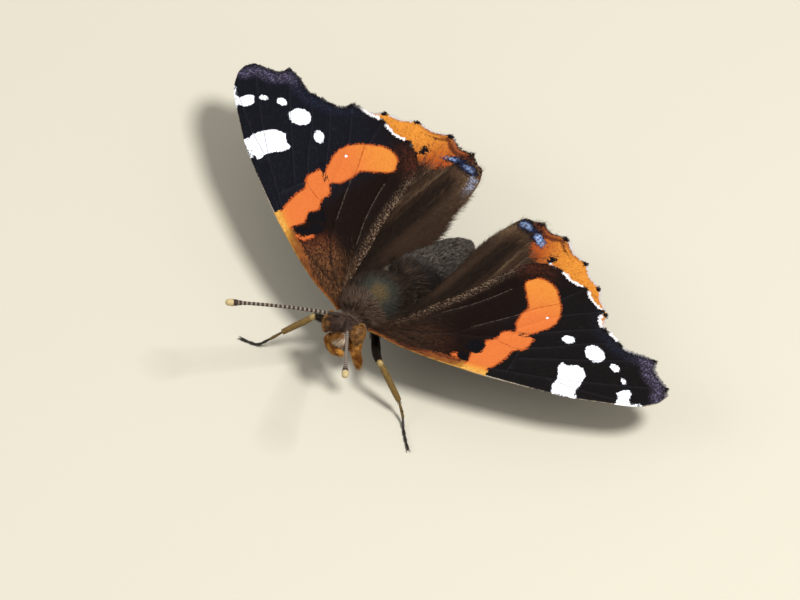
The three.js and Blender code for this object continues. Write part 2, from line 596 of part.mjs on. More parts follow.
// The antenna rises on its scape, then runs forward in a slight arch
function antennaTube(side, s) {
  const root = inHead([s * ANTENNA_ROOT[0], ANTENNA_ROOT[1], ANTENNA_ROOT[2]]);
  const start = add(root, [0, 0, ANTENNA_SCAPE[side]]);
  const yaw = s * ANTENNA_YAW[side];
  const pitch = ANTENNA_PITCH[side];
  const along = [Math.sin(yaw) * Math.cos(pitch), -Math.cos(yaw) * Math.cos(pitch), Math.sin(pitch)];
  const path = ANTENNA_PROFILE.map(([t]) => {
    const bend = [0, 0, ANTENNA_BEND * 4 * t * (1 - t)];
    return add(start, add(scale(along, t * ANTENNA_LENGTH), bend));
  });
  const radii = ANTENNA_PROFILE.map((row) => row[1]);
  return tube([root, ...path], [radii[0], ...radii], ANTENNA_SIDES);
}

for (const [side, s] of [['L', 1], ['R', -1]]) {
  const flip = (p) => (s > 0 ? p : mirrorX(p));
  const palp = tube(PALP_PATH[side].map(inHead), PALP_RADII, PALP_SIDES);
  const foreleg = tube(FORELEG.map(flip), FORELEG_RADII, LEG_SIDES);
  const midleg = tube(MIDLEG[side], LEG_RADII, LEG_SIDES);
  const hindleg = tube(HINDLEG[side], LEG_RADII, LEG_SIDES);
  const forewing = wingSolid(forewingPlan(side), forewingPoint(side), side);
  const hindwing = wingSolid(hindwingPlan(side), hindwingPoint(side), side);

  addNode(`eye_${side}`, cutAway(eyeSolid(s, 0), thoraxRoom), EYE_BROWN);
  addNode(`antenna_${side}`, cutAway(antennaTube(side, s), headRoom, ...eyeRooms), HORN);
  addNode(`palp_${side}`, cutAway(palp, headRoom, ...eyeRooms), ORANGE_BROWN);
  addNode(`foreleg_${side}`, cutAway(foreleg, thoraxRoom), ORANGE_BROWN);
  addNode(`midleg_${side}`, cutAway(midleg, thoraxRoom), TAN);
  addNode(`hindleg_${side}`, cutAway(hindleg, thoraxRoom), TAN);
  addNode(`forewing_${side}`, cutAway(forewing, thoraxRoom), INK);
  addNode(`hindwing_${side}`, cutAway(hindwing, thoraxRoom, abdomenRoom), UMBER);
}

// The group stands with its bounding box centred over the origin
const box = new THREE.Box3().setFromObject(group);
const middle = box.getCenter(new THREE.Vector3());
group.children.forEach((mesh) => mesh.geometry.translate(-middle.x, -middle.y, -box.min.z));

export default group;
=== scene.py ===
"""Red admiral butterfly, Vanessa atalanta: skins, scales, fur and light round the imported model.

Lengths are in millimetres in the model's own frame, where the wing hinges stand over the origin,
and become metres in the row's frame when a mesh is made. +Z is up, the head faces -Y.
"""
import math
import bpy
import numpy as np
from mathutils import Matrix, Vector
from mathutils.geometry import delaunay_2d_cdt


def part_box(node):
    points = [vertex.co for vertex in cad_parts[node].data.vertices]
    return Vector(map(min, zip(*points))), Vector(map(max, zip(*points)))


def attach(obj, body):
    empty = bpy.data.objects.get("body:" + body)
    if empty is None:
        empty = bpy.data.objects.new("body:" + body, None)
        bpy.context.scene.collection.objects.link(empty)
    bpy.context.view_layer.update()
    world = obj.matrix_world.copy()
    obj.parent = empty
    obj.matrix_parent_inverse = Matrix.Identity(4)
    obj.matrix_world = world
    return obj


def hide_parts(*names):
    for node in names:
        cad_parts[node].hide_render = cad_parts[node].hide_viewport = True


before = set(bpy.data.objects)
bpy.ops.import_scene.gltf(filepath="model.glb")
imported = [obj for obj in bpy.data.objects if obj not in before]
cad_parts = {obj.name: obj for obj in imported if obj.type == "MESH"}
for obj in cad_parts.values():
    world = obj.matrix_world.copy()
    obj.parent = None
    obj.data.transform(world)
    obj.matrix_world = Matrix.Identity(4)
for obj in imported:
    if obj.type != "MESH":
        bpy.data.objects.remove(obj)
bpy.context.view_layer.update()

MM = 0.001
DEG = math.pi / 180
rng = np.random.default_rng(11)

# The thorax's front end and its middle plane tie the model's frame to the row's
THORAX_FRONT = -1.0
low, high = (np.array(corner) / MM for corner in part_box("thorax"))
SHIFT = np.array([-(low[0] + high[0]) / 2, THORAX_FRONT - low[1], 0])

# Stance, as in the solids
BODY_LEAN = 17.85 * DEG
HINGE = np.array([3.0, 0, 7.8])
SHEET_DIP = 1.2
SHEET_DIP_SPAN = 27
HINDWING_DROP = 0.85
HINDWING_ROOT = (-0.4, 2.5)
FOLD_DEPTH = 1.1
FOLD_WIDTH = 2.8
FOLD_LINE = 2.5
FOLD_RANGE = (1.5, 8)
SWEEP = {"L": 27.2 * DEG, "R": 28.2 * DEG}
RAISE = {"L": 2.24 * DEG, "R": 6.14 * DEG}
TILT = {"L": -3.2 * DEG, "R": 3.2 * DEG}
HEAD_CENTRE = np.array([0.45, -2.5, 8.6])
HEAD_YAW = 6 * DEG
HEAD_ROLL = 10 * DEG
EYE_CENTRE = np.array([1.75, -0.2, 0.05])
EYE_RADII = np.array([0.8, 0.96, 1.1])

# Wing plans: u runs from the hinge to the tip, v to the rear
FOREWING = {
    "costa": [(-1.2, -0.2), (0.3, -0.6), (2.4, -1.35), (4.8, -1.9), (7.3, -2.3), (9.5, -2.55), (11.8, -2.8),
              (16, -2.95), (19, -3), (21.5, -2.95), (23.5, -2.7), (27.2, -2.15), (28.8, -1.7), (29.7, -1.2),
              (30.5, -0.6), (31, 0.2)],
    "margin": [(31, 0.2), (30.95, 1.4), (30, 2.55), (29.25, 3.5), (29.1, 4.7), (27.4, 5.1), (26.1, 5.2),
               (25, 5.75), (24.2, 6.6), (22.9, 7.3), (22.3, 8.3), (22.3, 9.5), (21, 10.75), (19.95, 12.1),
               (18.1, 12.85), (16.75, 13.9), (15, 14.15)],
    "margin_R": [(31, 0.2), (30.95, 1.4), (30, 2.55), (29.25, 3.5), (29.1, 4.8), (27.6, 5.4), (26.3, 5.6),
                 (25.3, 6.05), (24.5, 6.95), (23.5, 7.65), (22.95, 8.7), (22.75, 9.95), (21.5, 10.95),
                 (20.15, 12.05), (18.1, 12.85), (16.75, 13.9), (15, 14.15)],
    "rear": [(15, 14.15), (13.6, 13.8), (12, 12.7), (10.2, 10.8), (8.6, 9), (6.9, 7.2), (4.6, 5.1),
             (2.8, 3.2), (0.9, 1.9), (-0.9, 1.7)],
    "veins": [
        [(0.9, 0.35), (2.3, 0.3), (4.2, -0.4), (6.8, -1.1), (9, -1.6), (11.6, -1.8), (14.2, -1.6),
         (18, -1.25), (22, -0.6), (26, 0.2), (30.9, 1.3)],
        [(18, -1.25), (23, -1.75), (28.4, -1.6)],
        [(14.2, -1.6), (14.7, 0.4), (14.8, 1.9), (13.4, 3.3)],
        [(14.7, 0.4), (19, 1.6), (23.6, 2.9), (29, 4.6)],
        [(14.8, 1.9), (18, 3), (21.5, 4.6), (25, 5.7)],
        [(13.4, 3.3), (14.7, 3.9), (16.7, 4.6), (19.8, 6), (23.2, 7.2)],
        [(12, 2.75), (15, 5.2), (18.1, 7.5), (22.3, 9.4)],
        [(7.5, 1.9), (10.2, 3.8), (13.7, 6.3), (17, 9.15), (19.9, 12)],
        [(1.2, 0.75), (3.1, 0.85), (4.7, 1.1), (7.5, 1.9), (10, 2.2), (12, 2.75), (13.4, 3.3)],
        [(1.2, 1.2), (4.5, 3.3), (6.6, 4.8), (8.6, 6.2), (10.9, 8.2), (12.7, 10), (16.7, 13.8)],
    ],
}
HINDWING = {
    "costa": [(-0.2, -0.4), (1.2, -0.9), (4, -1.1), (8, -0.1), (12, 1.7), (15.2, 3.7), (17.4, 5.8)],
    "margin": [(17.4, 5.8), (18.7, 7.8), (18.9, 9.9), (18.3, 11.8), (18, 13.4), (16.9, 15), (16, 16.7),
               (14.4, 17.7), (13.2, 18.9), (11.4, 19.5), (10, 20.6), (8, 20.9), (6.2, 21.9), (4.5, 21.4),
               (3, 21.8), (2, 21.4), (1, 21.2)],
    "rear": [(1, 21.2), (0.4, 20.1), (0, 18.4), (-0.3, 15.9), (-0.3, 14), (0.1, 12.2), (0.35, 9), (0.4, 5),
             (0.2, 1.5), (-0.2, 0.6)],
    "rear_R": [(1, 21.2), (0.4, 20.1), (0, 18.4), (-0.2, 16.2), (-0.45, 14.5), (-0.8, 13.2), (-0.95, 12.3),
               (-0.85, 11.2), (-0.6, 9.9), (-0.3, 8.4), (0.1, 6.2), (0.3, 4), (0.2, 1.5), (-0.2, 0.6)],
    "veins": [
        [(0.8, 0.2), (4, 0.7), (8, 1.7), (13, 3.4), (17.5, 5.4)],
        [(4, 0.7), (7.2, 3.4), (12, 6.4), (18.7, 9.8)],
        [(7.2, 3.4), (7.9, 6.4), (12.6, 9.4), (17.9, 13.3)],
        [(7.9, 6.4), (7.5, 9), (11.5, 12.6), (15.9, 16.5)],
        [(7.5, 9), (6.2, 10.2), (9.6, 14.6), (13.1, 18.7)],
        [(6.2, 10.2), (4.8, 10.3), (7.6, 15.5), (9.9, 20.4)],
        [(0.9, 1.2), (2.2, 4.4), (3.4, 8.4), (4.8, 10.3)],
        [(3.4, 8.4), (5.1, 15), (6.2, 21.6)],
        [(0.8, 2), (1.9, 8), (2.2, 15), (3, 21.4)],
    ],
}
SHAPES = {"forewing": FOREWING, "hindwing": HINDWING}
MEMBRANE = 0.12
FRINGE = {"forewing_L": (0.24, 0.26), "forewing_R": (0.12, 0.26), "hindwing_L": (0.14, 0.14),
          "hindwing_R": (0.14, 0.14)}
FRINGE_SPAN = (6.0, 8.0)
VEIN_REACH = 0.9
PLAN_STEP = 0.27
VEIN_RADIUS = (0.24, 0.09)
PLEAT = 0.05
PLEAT_WIDTH = 1.1
FOREWING_LENGTH = 31

# How finely lines and wings are drawn
CURVE_PIECES = 12
MARGIN_STEP = 0.22
OUTLINE_STEP = 0.3
VEIN_STEP = 0.32
VEIN_ROWS = (0, -0.13, 0.13, -0.3, 0.3)
CLOSEST = 0.115
CLEAR_OF_EDGE = 0.12
ROW_HEIGHT = 0.866
JITTER = 0.02
FAR = 1e9

# The fringe: its run in at both ends, its vanes, where its white starts and how white it is before, and
# how far it stands out at a vein's end
FRINGE_RUN_IN = 4
FRINGE_VANES = 1100
WHITE_FRINGE = {"L": (5.0, 0.15), "R": (10.1, 0.05)}
TIP_TUFT = {"forewing": 0.1, "hindwing": 0.2}

# Markings in wing millimetres
WHITE_BAR = {
    "R": [(21.6, -2.85), (22.3, -1.7), (22.4, -0.4), (22.2, 0.65), (21.45, 1.55), (20.35, 1.3), (19.5, 1.6),
          (19.35, 0.6), (19.55, -0.6), (19.45, -1.3), (19.0, -2.3)],
    "L": [(19.3, 0.75), (19.6, 1.45), (20.05, 1.1), (21.25, 1.5), (21.8, 1.3), (22.3, 0.4), (22.05, -0.95),
          (21.75, -1.85), (21.75, -2.8), (19.35, -2.85), (19.2, -1.9), (19.6, -0.95), (19.45, 0)],
}
COSTAL_PATCH = {
    "R": [(27.5, -1.9), (27.1, -1.55), (27.25, -0.65), (26.95, -0.1), (26.15, -0.45), (26.05, -0.9),
          (26.05, -1.55), (26.6, -2.0)],
    "L": [(26.2, -2.25), (26.3, -1.15), (26.0, -0.9), (26.5, -0.45), (27.15, -0.05), (27.4, -0.45),
          (27.3, -1.15), (27.6, -1.95)],
}
WHITE_SPOTS = {
    "R": [(26.47, 0.83, 0.46, 0.3, 122), (25.37, 2.55, 0.58, 0.42, 141), (22.98, 3.73, 1.18, 1.05, 128),
          (19.97, 4.86, 0.76, 0.55, 6), (16.8, 6.8, 0.13, 0.13, 0)],
    "L": [(26.34, 0.9, 0.4, 0.25, 126), (25.08, 2.38, 0.57, 0.4, 142), (22.65, 3.57, 1.18, 0.95, 136),
          (19.55, 4.66, 0.68, 0.52, 177), (16.8, 6.8, 0.13, 0.13, 0)],
}
WHITE_EDGES = [[(19.6, -2.9), (21.9, -2.75)], [(26.2, -2.3), (27.4, -2.1), (28.7, -1.65)]]
BAND = [(12.2, -2.9), (12.2, -2.0), (13.0, -1.1), (13.9, 0.4), (14.2, 1.3), (15.3, 1.7), (15.8, 2.4),
        (16.1, 3.7), (15.5, 3.9), (17.2, 5.4), (17.9, 6.3), (18.1, 7.4), (18.0, 8.6), (17.5, 9.8),
        (17.0, 11.0), (16.3, 11.7), (15.5, 12.0), (14.6, 12.0), (13.6, 11.3), (13.4, 10.8), (14.0, 9.2),
        (14.55, 7.7), (13.95, 6.5), (13.7, 5.2), (13.95, 4.1), (12.9, 3.8), (12.4, 3.4), (12.25, 2.6),
        (11.1, 1.9), (11.15, 0.8), (10.0, -0.1), (9.9, -1.4), (9.7, -1.8), (9.6, -2.6)]
BAND_GAP = [(14.4, 3.85), (15.3, 3.85), (16.6, 4.0)]
BAND_SEAM_WIDTH = 0.06
BAND_SEAMS = [[(12.2, 2.4), (13.2, 2.05), (14.4, 1.75), (15.4, 1.9)], [(14.0, 6.7), (15.4, 7.8), (17.8, 9.3)]]
BAND_FLECK = {"R": [(8.7, -1.45), (8.15, -0.85), (8.3, 0.2)], "L": [(8.2, -1.1), (8.5, -0.8), (8.8, -1.2)]}
CELL_MARKS = {
    "R": [[(9.4, -1.55), (9.75, -0.65), (9.2, -0.1), (9.65, 0.85), (9.3, 1.5), (8.6, 1.8), (8.35, 0.65),
           (8.7, -0.5)],
          [(10.6, 0.4), (11.1, 0.8), (10.8, 1.35), (11.1, 2.3), (9.4, 2.05), (9.95, 1.2), (9.7, 0.6)]],
    "L": [[(8.7, -1.0), (9.1, -0.3), (9.9, -0.5), (9.8, -1.2), (9.4, -1.4)],
          [(9.2, 0.35), (9.7, 1.5), (10.1, 1.9), (11.0, 1.6), (11.3, 1.2), (11.1, 0.3), (10.5, -0.2),
           (9.9, 0.1)]],
}
BLUE_MARKS = {"R": [(2.15, 20.15, 0.85, 0.34, -8), (4.25, 19.75, 0.95, 0.27, -30)],
              "L": [(1.9, 20.35, 1.05, 0.5, -8), (4.25, 19.7, 1.05, 0.5, -28)]}
HIND_SPOTS = [(7.0, 18.55, 0.42, 0.6), (9.6, 17.2, 0.7, 0.6), (12.2, 15.3, 0.75, 0.65),
              (14.1, 12.9, 0.75, 0.7), (15.0, 10.1, 0.65, 0.6)]
VIOLET_MARK = [(0.9, 19.7), (0.6, 18.6), (0.4, 17.4)]
BLUE_GLINT = (7.35, 17.95, 0.24, 0.15)
HIND_BAND_WIDTH = 4.4
BLUE_BORDER = {"R": 0.34, "L": 0.32}
BLUE_GLOW = {"R": 0.85, "L": 1.0}
# Painted coppery sheen on each forewing's base: strong on the right wing, faint on the left
COPPER_SHEEN = {"R": 0.95, "L": 0.15}
HAZE = {"R": 0.22, "L": 0.5}
# Painted blue sheen: how much bluer each forewing's black is made
COOL_SHEEN = {"R": 1.0, "L": 0.15}
COSTAL_WARMTH = {"R": (7, 11), "L": (8, 11)}
PALE_VEINS = [(7, 4, -8), (9, 11, -12)]

# Scales and their finer dust, as many to the millimetre along u and v
SCALE = (5.2, 8.5, 1.0)
DUST = (8.0, 10.0, 1.0)
SEAM_RUN_ON = 9
UV_START = (6, 6)
UV_SPAN = 60
UNDERSIDE_UV = (0, 26)

# A hair: its three sides, its taper, how far its end strays, its patch of the map, and its root in the skin
THIRDS = (0.0, 2.094, 4.189)
TAPER = 0.85
STRAY = 0.12
PATCH = 0.003
ROOT_DEPTH = 0.03

# Body and head
BODY_NODES = ("thorax", "abdomen", "head")
NECK = ((0.22, -1.35, 8.25), (1.05, 1.0, 1.1))
WAIST = ((0, 7.05, 6.4), (1.8, 0.95, 1.85))
VOXEL = 0.17
SMOOTHING = 20
TUFT_IN_HEAD = (0.6, -1.22, -0.32)
FACE_HAIRS = 2600
RIM_HAIRS = 420
RIM_REACH = 1.03
EYE_HAIRS = 650
# Painted light on the eyes: the left eye gets the lighter brown, the right stays darker as painted shade
EYE_PAINTED_LIGHT = {"L": 1.0, "R": 0.35}
ANTENNA_LENGTH = 14
ANTENNA_ROOT = np.array([0.62, -0.2, 1.35])
ANTENNA_SCAPE = {"L": 0.25, "R": 0.5}
ANTENNA_YAW = {"L": 37.8 * DEG, "R": 33.3 * DEG}
ANTENNA_PITCH = {"L": 27.6 * DEG, "R": 25.5 * DEG}
ANTENNA_BEND = 0.35
ANTENNA_SIDES = 16
SCAPE_RADIUS = 0.26
BEADING = 0.07
ANTENNA_DARK = {"L": 2.9, "R": 1.1}
# Painted shade on the right antenna: its pale rings are drawn darker than the left's
ANTENNA_PAINTED_LIGHT = {"L": 1.0, "R": 0.3}
ANTENNA_PROFILE = ([0, 0.3, 0.5, 0.8, 11.2, 11.9, 12.5, 13.1, 13.6, 13.85, 14],
                   [0.24, 0.24, 0.2, 0.18, 0.18, 0.22, 0.31, 0.38, 0.37, 0.26, 0.11])
RING_STEP = 0.55
PALP_PATH = {
    "L": [(1.15, -0.65, -1.1), (1.95, -1.15, -1.8), (2.3, -1.4, -2.55), (2.4, -1.5, -3.15)],
    "R": [(-1.2, -0.75, -1.0), (-1.15, -1.45, -1.2), (-0.35, -2.0, -1.5), (0.6, -2.15, -1.65)],
}
PALP_RADII = (0.36, 0.42, 0.38, 0.14)
PROBOSCIS_CENTRE = np.array([0.15, -0.15, -2.55])
COIL_TURNS = 2.6
COIL_STEPS = 90
COIL_RADII = (0.78, 0.18)
TONGUE_RADII = (0.13, 0.08)

# Legs from the coxa to the claws, and for each part the count of its hairs, their rise, length and patch
MIDLEG = {
    "L": [(1.3, 1.8, 5.6), (1.9, 1.0, 4.9), (3.6, -0.8, 5.3), (4.69, -1.72, 5.8), (5.6, -1.8, 4.9),
          (7.9, -1.95, 2.1), (8.95, -2.45, 0.95), (9.75, -3.2, 0.25), (10.9, -4.2, 0.2), (12, -5.05, 0.2)],
    "R": [(-1.3, 1.8, 5.6), (-1.9, 0.9, 4.8), (-3.3, -1, 5.2), (-4.14, -1.8, 5.8), (-4.95, -2.55, 4.85),
          (-6.55, -4, 3), (-7.6, -4.9, 1.6), (-8.6, -5.4, 0.35), (-9.5, -5.75, 0.2), (-10.5, -6, 0.2)],
}
HINDLEG = {
    "L": [(1.2, 4.4, 4.9), (2, 5.2, 3.9), (4.2, 6.8, 4.3), (5.3, 7.7, 4.6), (5.9, 8.7, 3.8),
          (7.5, 11.2, 1.7), (8.1, 12.1, 0.9), (8.7, 13, 0.3), (9.3, 13.8, 0.2), (10, 14.8, 0.2)],
    "R": [(-1.2, 4.4, 4.9), (-2, 5.2, 3.9), (-4.1, 6.9, 4.3), (-5.1, 7.8, 4.6), (-5.7, 8.8, 3.8),
          (-7.2, 11.4, 1.7), (-7.7, 12.3, 0.9), (-8.2, 13.2, 0.3), (-8.7, 14, 0.2), (-9.3, 15, 0.2)],
}
TARSUS_CUTS = (0, 0.34, 0.52, 0.68, 0.83, 1.0)
LOWEST_HAIR = 0.12
LEG_HAIR = ((150, 0.5, 0.6, 0), (900, 0.45, 0.45, 0), (800, 0.12, 0.22, 1), (130, 0.3, 0.16, 0.5),
            (60, 0.5, 0.13, 0), (50, 0.5, 0.13, 0), (50, 0.5, 0.13, 0), (50, 0.5, 0.13, 0))
FORELEG = [(0.95, 0.1, 6.7), (1.2, -0.75, 6), (1.3, -1.2, 5), (1.15, -0.95, 4.1)]
FORELEG_RADII = (0.3, 0.34, 0.36, 0.15)

# The photo's view: the camera's own axes as rows, and what it frames
VIEW = np.array([[0.7574, 0.6505, 0.0565], [-0.5423, 0.5784, 0.6094], [0.3637, -0.4922, 0.7909]])
PIXELS_PER_MM = 9.486696
IMAGE_CENTRE = (4.5397, 1.6727)
IMAGE_WIDTH = 800
LENS = 600
SENSOR = 36
CLIP = (0.05, 20)
FLOOR_HALF = 3.0
SKY = (1.0, 0.98, 0.95, 1)
SKY_STRENGTH = 0.55
SIDES = (("L", 1), ("R", -1))


# Small geometry
def turned(p, axis, angle):
    """Points turned about one axis of their frame."""
    a, b = [(1, 2), (2, 0), (0, 1)][axis]
    out = np.array(p, float)
    out[:, a] = p[:, a] * math.cos(angle) - p[:, b] * math.sin(angle)
    out[:, b] = p[:, a] * math.sin(angle) + p[:, b] * math.cos(angle)
    return out


def unit(v):
    return v / np.maximum(np.linalg.norm(v, axis=-1, keepdims=True), 1e-9)


def square_to(way, axis):
    """The part of each direction that stands square to an axis."""
    return unit(way - axis * np.sum(way * axis, axis=1, keepdims=True))


def along_line(line):
    return unit(np.gradient(line, axis=0))


def across_line(line):
    along = along_line(line)
    return np.stack([-along[:, 1], along[:, 0]], 1)


def smooth(a, b, x):
    """0 at a, 1 at b, and an S between them."""
    t = np.clip((np.asarray(x, float) - a) / (b - a), 0, 1)
    return t * t * (3 - 2 * t)


def resample(line, step):
    line = np.asarray(line, float)
    along = np.concatenate([[0], np.cumsum(np.linalg.norm(np.diff(line, axis=0), axis=1))])
    at = np.linspace(0, along[-1], max(2, int(round(along[-1] / step)) + 1))
    return np.stack([np.interp(at, along, line[:, k]) for k in range(line.shape[1])], 1)


def curve(points, step):
    """A smooth line through the points, with even steps."""
    p = np.asarray(points, float)
    p = np.concatenate([[2 * p[0] - p[1]], p, [2 * p[-1] - p[-2]]])
    t = np.linspace(0, 1, CURVE_PIECES, endpoint=False)[:, None]
    out = [0.5 * (2 * b + (c - a) * t + (2 * a - 5 * b + 4 * c - d) * t**2 + (3 * b - a - 3 * c + d) * t**3)
           for a, b, c, d in zip(p, p[1:], p[2:], p[3:])]
    return resample(np.concatenate(out + [p[-2:-1]]), step)


def spread_out(sizes, count):
    """A few sizes spread evenly over a longer line."""
    return np.interp(np.linspace(0, 1, count), np.linspace(0, 1, len(sizes)), sizes)


def piece_distance(p, a, b):
    """Distance of plane points to one straight piece of a line."""
    ab = b - a
    t = np.clip(((p - a) @ ab) / (ab @ ab), 0, 1)
    return np.linalg.norm(p - a - t[:, None] * ab, axis=1)


def line_distance(p, line, closed=False):
    line = np.asarray(line, float)
    best = np.full(len(p), FAR)
    for a, b in zip(line, np.roll(line, -1, axis=0) if closed else line[1:]):
        best = np.minimum(best, piece_distance(p, a, b))
    return best


def inside(p, loop):
    loop = np.asarray(loop, float)
    odd = np.zeros(len(p), bool)
    for (xa, ya), (xb, yb) in zip(loop, np.roll(loop, -1, axis=0)):
        if ya != yb:
            crosses = (ya > p[:, 1]) != (yb > p[:, 1])
            odd ^= crosses & (p[:, 0] < (xb - xa) * (p[:, 1] - ya) / (yb - ya) + xa)
    return odd


def seam_line(p, line, width):
    """For a thin line: the signed distance across it, and its half width, negative past its ends."""
    line = np.asarray(line, float)
    first, last = unit(line[0] - line[1]), unit(line[-1] - line[-2])
    long = np.concatenate([[line[0] + SEAM_RUN_ON * first], line, [line[-1] + SEAM_RUN_ON * last]])
    best, signed = np.full(len(p), FAR), np.zeros(len(p))
    for a, b in zip(long, long[1:]):
        d = piece_distance(p, a, b)
        side = np.sign((b - a)[0] * (p[:, 1] - a[1]) - (b - a)[1] * (p[:, 0] - a[0]))
        signed = np.where(d < best, d * side, signed)
        best = np.minimum(best, d)
    past = np.maximum((p - line[0]) @ first, (p - line[-1]) @ last)
    return np.column_stack([signed, width - np.maximum(0, past), np.zeros(len(p))])


def area_depth(p, loop):
    """Signed distance to a loop's edge, positive inside."""
    return np.where(inside(p, loop), 1, -1) * line_distance(p, loop, closed=True)


def spot_depth(p, spot):
    """Depth inside an ellipse: centre, half axes, and the turn of its long axis in degrees."""
    x, y, a, b, turn = (*spot, 0)[:5]
    c, s = math.cos(turn * DEG), math.sin(turn * DEG)
    u, v = p[:, 0] - x, p[:, 1] - y
    return (1 - np.hypot((c * u + s * v) / a, (c * v - s * u) / b)) * min(a, b)


# Wings on their sheets
def place(kind, side, plan, lift=0.0):
    """Plane points of a wing, lifted off its sheet, in the model's frame."""
    u, v = plan.T
    if kind == "forewing":
        x, y, _ = turned(np.stack([u, v, 0 * u], 1), 2, SWEEP[side]).T
        drop = 0
    else:
        x, y = u + HINDWING_ROOT[0], v + HINDWING_ROOT[1]
        fold = (np.maximum(0, FOLD_LINE - u) / FOLD_WIDTH) ** 2 * smooth(*FOLD_RANGE, v)
        drop = HINDWING_DROP + FOLD_DEPTH * fold
    p = np.stack([x, y, -SHEET_DIP * (x / SHEET_DIP_SPAN) ** 2 - drop + lift], 1)
    for axis, angle in ((0, BODY_LEAN + TILT[side]), (1, -RAISE[side]), (0, -BODY_LEAN)):
        p = turned(p, axis, angle)
    return (p + HINGE) * (1 if side == "L" else -1, 1, 1)


def off_sheet(kind, side, p):
    """The way up from a wing's sheet."""
    return place(kind, side, p, 1.0) - place(kind, side, p, 0.0)


def wing_line(kind, part, side, step=0.5):
    """One side of a wing's outline, its own where the two wings differ."""
    shape = SHAPES[kind]
    return curve(shape.get(f"{part}_{side}", shape[part]), step)


def tip_gap(kind, p, margin):
    """Distance to the nearest vein's end. A vein that ends near the margin reaches it."""
    ends = np.array([vein[-1] for vein in SHAPES[kind]["veins"]])
    far = np.linalg.norm(margin - ends[:, None], axis=2)
    ends = np.where((far.min(1) < VEIN_REACH)[:, None], margin[far.argmin(1)], ends)
    return np.min([np.hypot(*(p - end).T) for end in ends], axis=0)


def outline(kind, side):
    """The membrane's closed outline, and the line that its fringe reaches."""
    margin = wing_line(kind, "margin", side, MARGIN_STEP)
    ends = np.minimum(np.arange(len(margin)), np.arange(len(margin))[::-1]) / FRINGE_RUN_IN
    near, far = FRINGE[f"{kind}_{side}"]
    wide = near + (far - near) * smooth(*FRINGE_SPAN, margin[:, 1])
    wide = wide * (0.4 + 0.6 * smooth(0.15, 0.6, tip_gap(kind, margin, margin)))
    membrane = margin + across_line(margin) * (wide * np.clip(ends, 0, 1))[:, None]
    front, rear = (wing_line(kind, part, side, OUTLINE_STEP) for part in ("costa", "rear"))
    return np.concatenate([front[:-1], membrane[:-1], rear]), margin, membrane


def vein_field(shape, p):
    """Distance to the nearest vein and that vein's radius there."""
    best, radius = np.full(len(p), FAR), np.full(len(p), VEIN_RADIUS[1])
    for vein in shape["veins"]:
        fine = curve(vein, 0.5)
        taper = np.linspace(0, 1, len(fine))
        far = np.linalg.norm(fine, axis=1) / FOREWING_LENGTH
        sizes = VEIN_RADIUS[0] + (VEIN_RADIUS[1] - VEIN_RADIUS[0]) * np.clip(0.35 * taper + 0.9 * far, 0, 1)
        for a, b, size in zip(fine, fine[1:], sizes):
            d = piece_distance(p, a, b)
            near = d < best
            best[near], radius[near] = d[near], size
    return best, radius


def relief(kind, side, p):
    """Rise of the surface: ridged veins, and the membrane sagging between them."""
    d, r = vein_field(SHAPES[kind], p)
    ridge = r * 0.6 * np.exp(-((d / (0.85 * r)) ** 2))
    sag = PLEAT * (1 - np.exp(-((d / PLEAT_WIDTH) ** 2)))
    edge = smooth(0, 1.5, line_distance(p, outline(kind, side)[0][::3], closed=True))
    return ridge, sag * edge, d


def wing_plan(kind, side):
    """Triangles over a wing: rows along each vein, and an even field between them."""
    loop, margin, membrane = outline(kind, side)
    points = [loop]
    taken = loop
    for vein in SHAPES[kind]["veins"]:
        line = curve(vein, VEIN_STEP)
        rows = np.concatenate([line + k * across_line(line) for k in VEIN_ROWS])
        keep = []
        for q in rows[inside(rows, loop) & (line_distance(rows, loop, closed=True) > CLEAR_OF_EDGE)]:
            if np.min(np.hypot(*(taken - q).T)) > CLOSEST:
                taken = np.concatenate([taken, [q]])
                keep.append(q)
        points.append(np.array(keep))
    (x0, y0), (x1, y1) = loop.min(0), loop.max(0)
    xs, ys = np.meshgrid(np.arange(x0, x1, PLAN_STEP), np.arange(y0, y1, PLAN_STEP * ROW_HEIGHT))
    xs = xs + (np.arange(len(xs)) % 2)[:, None] * PLAN_STEP / 2
    field = np.stack([xs.ravel(), ys.ravel()], 1) + rng.uniform(-JITTER, JITTER, (xs.size, 2))
    field = field[inside(field, loop) & (line_distance(field, loop, closed=True) > PLAN_STEP * 0.6)]
    veins = np.concatenate(points[1:])
    clear = np.array([np.min(np.hypot(*(veins - q).T)) > PLAN_STEP * 0.75 for q in field])
    every = np.concatenate([loop, veins, field[clear]])
    found = delaunay_2d_cdt([Vector(q) for q in every], [], [list(range(len(loop)))], 1, 1e-5)
    return np.array([tuple(q) for q in found[0]]), np.array(found[2]), margin, membrane


def ring_edges(faces):
    """The open edges round a sheet of triangles, in its faces' turn."""
    sides = np.concatenate([faces[:, [0, 1]], faces[:, [1, 2]], faces[:, [2, 0]]])
    have = {tuple(e) for e in sides.tolist()}
    return np.array([e for e in have if (e[1], e[0]) not in have])


# Meshes
def in_scene(name, data):
    thing = bpy.data.objects.new(name, data)
    bpy.context.scene.collection.objects.link(thing)
    return thing


def rows_of(items, field, kind=float):
    """A field of three numbers, read from every item."""
    values = np.empty(len(items) * 3, kind)
    items.foreach_get(field, values)
    return values.reshape(-1, 3)


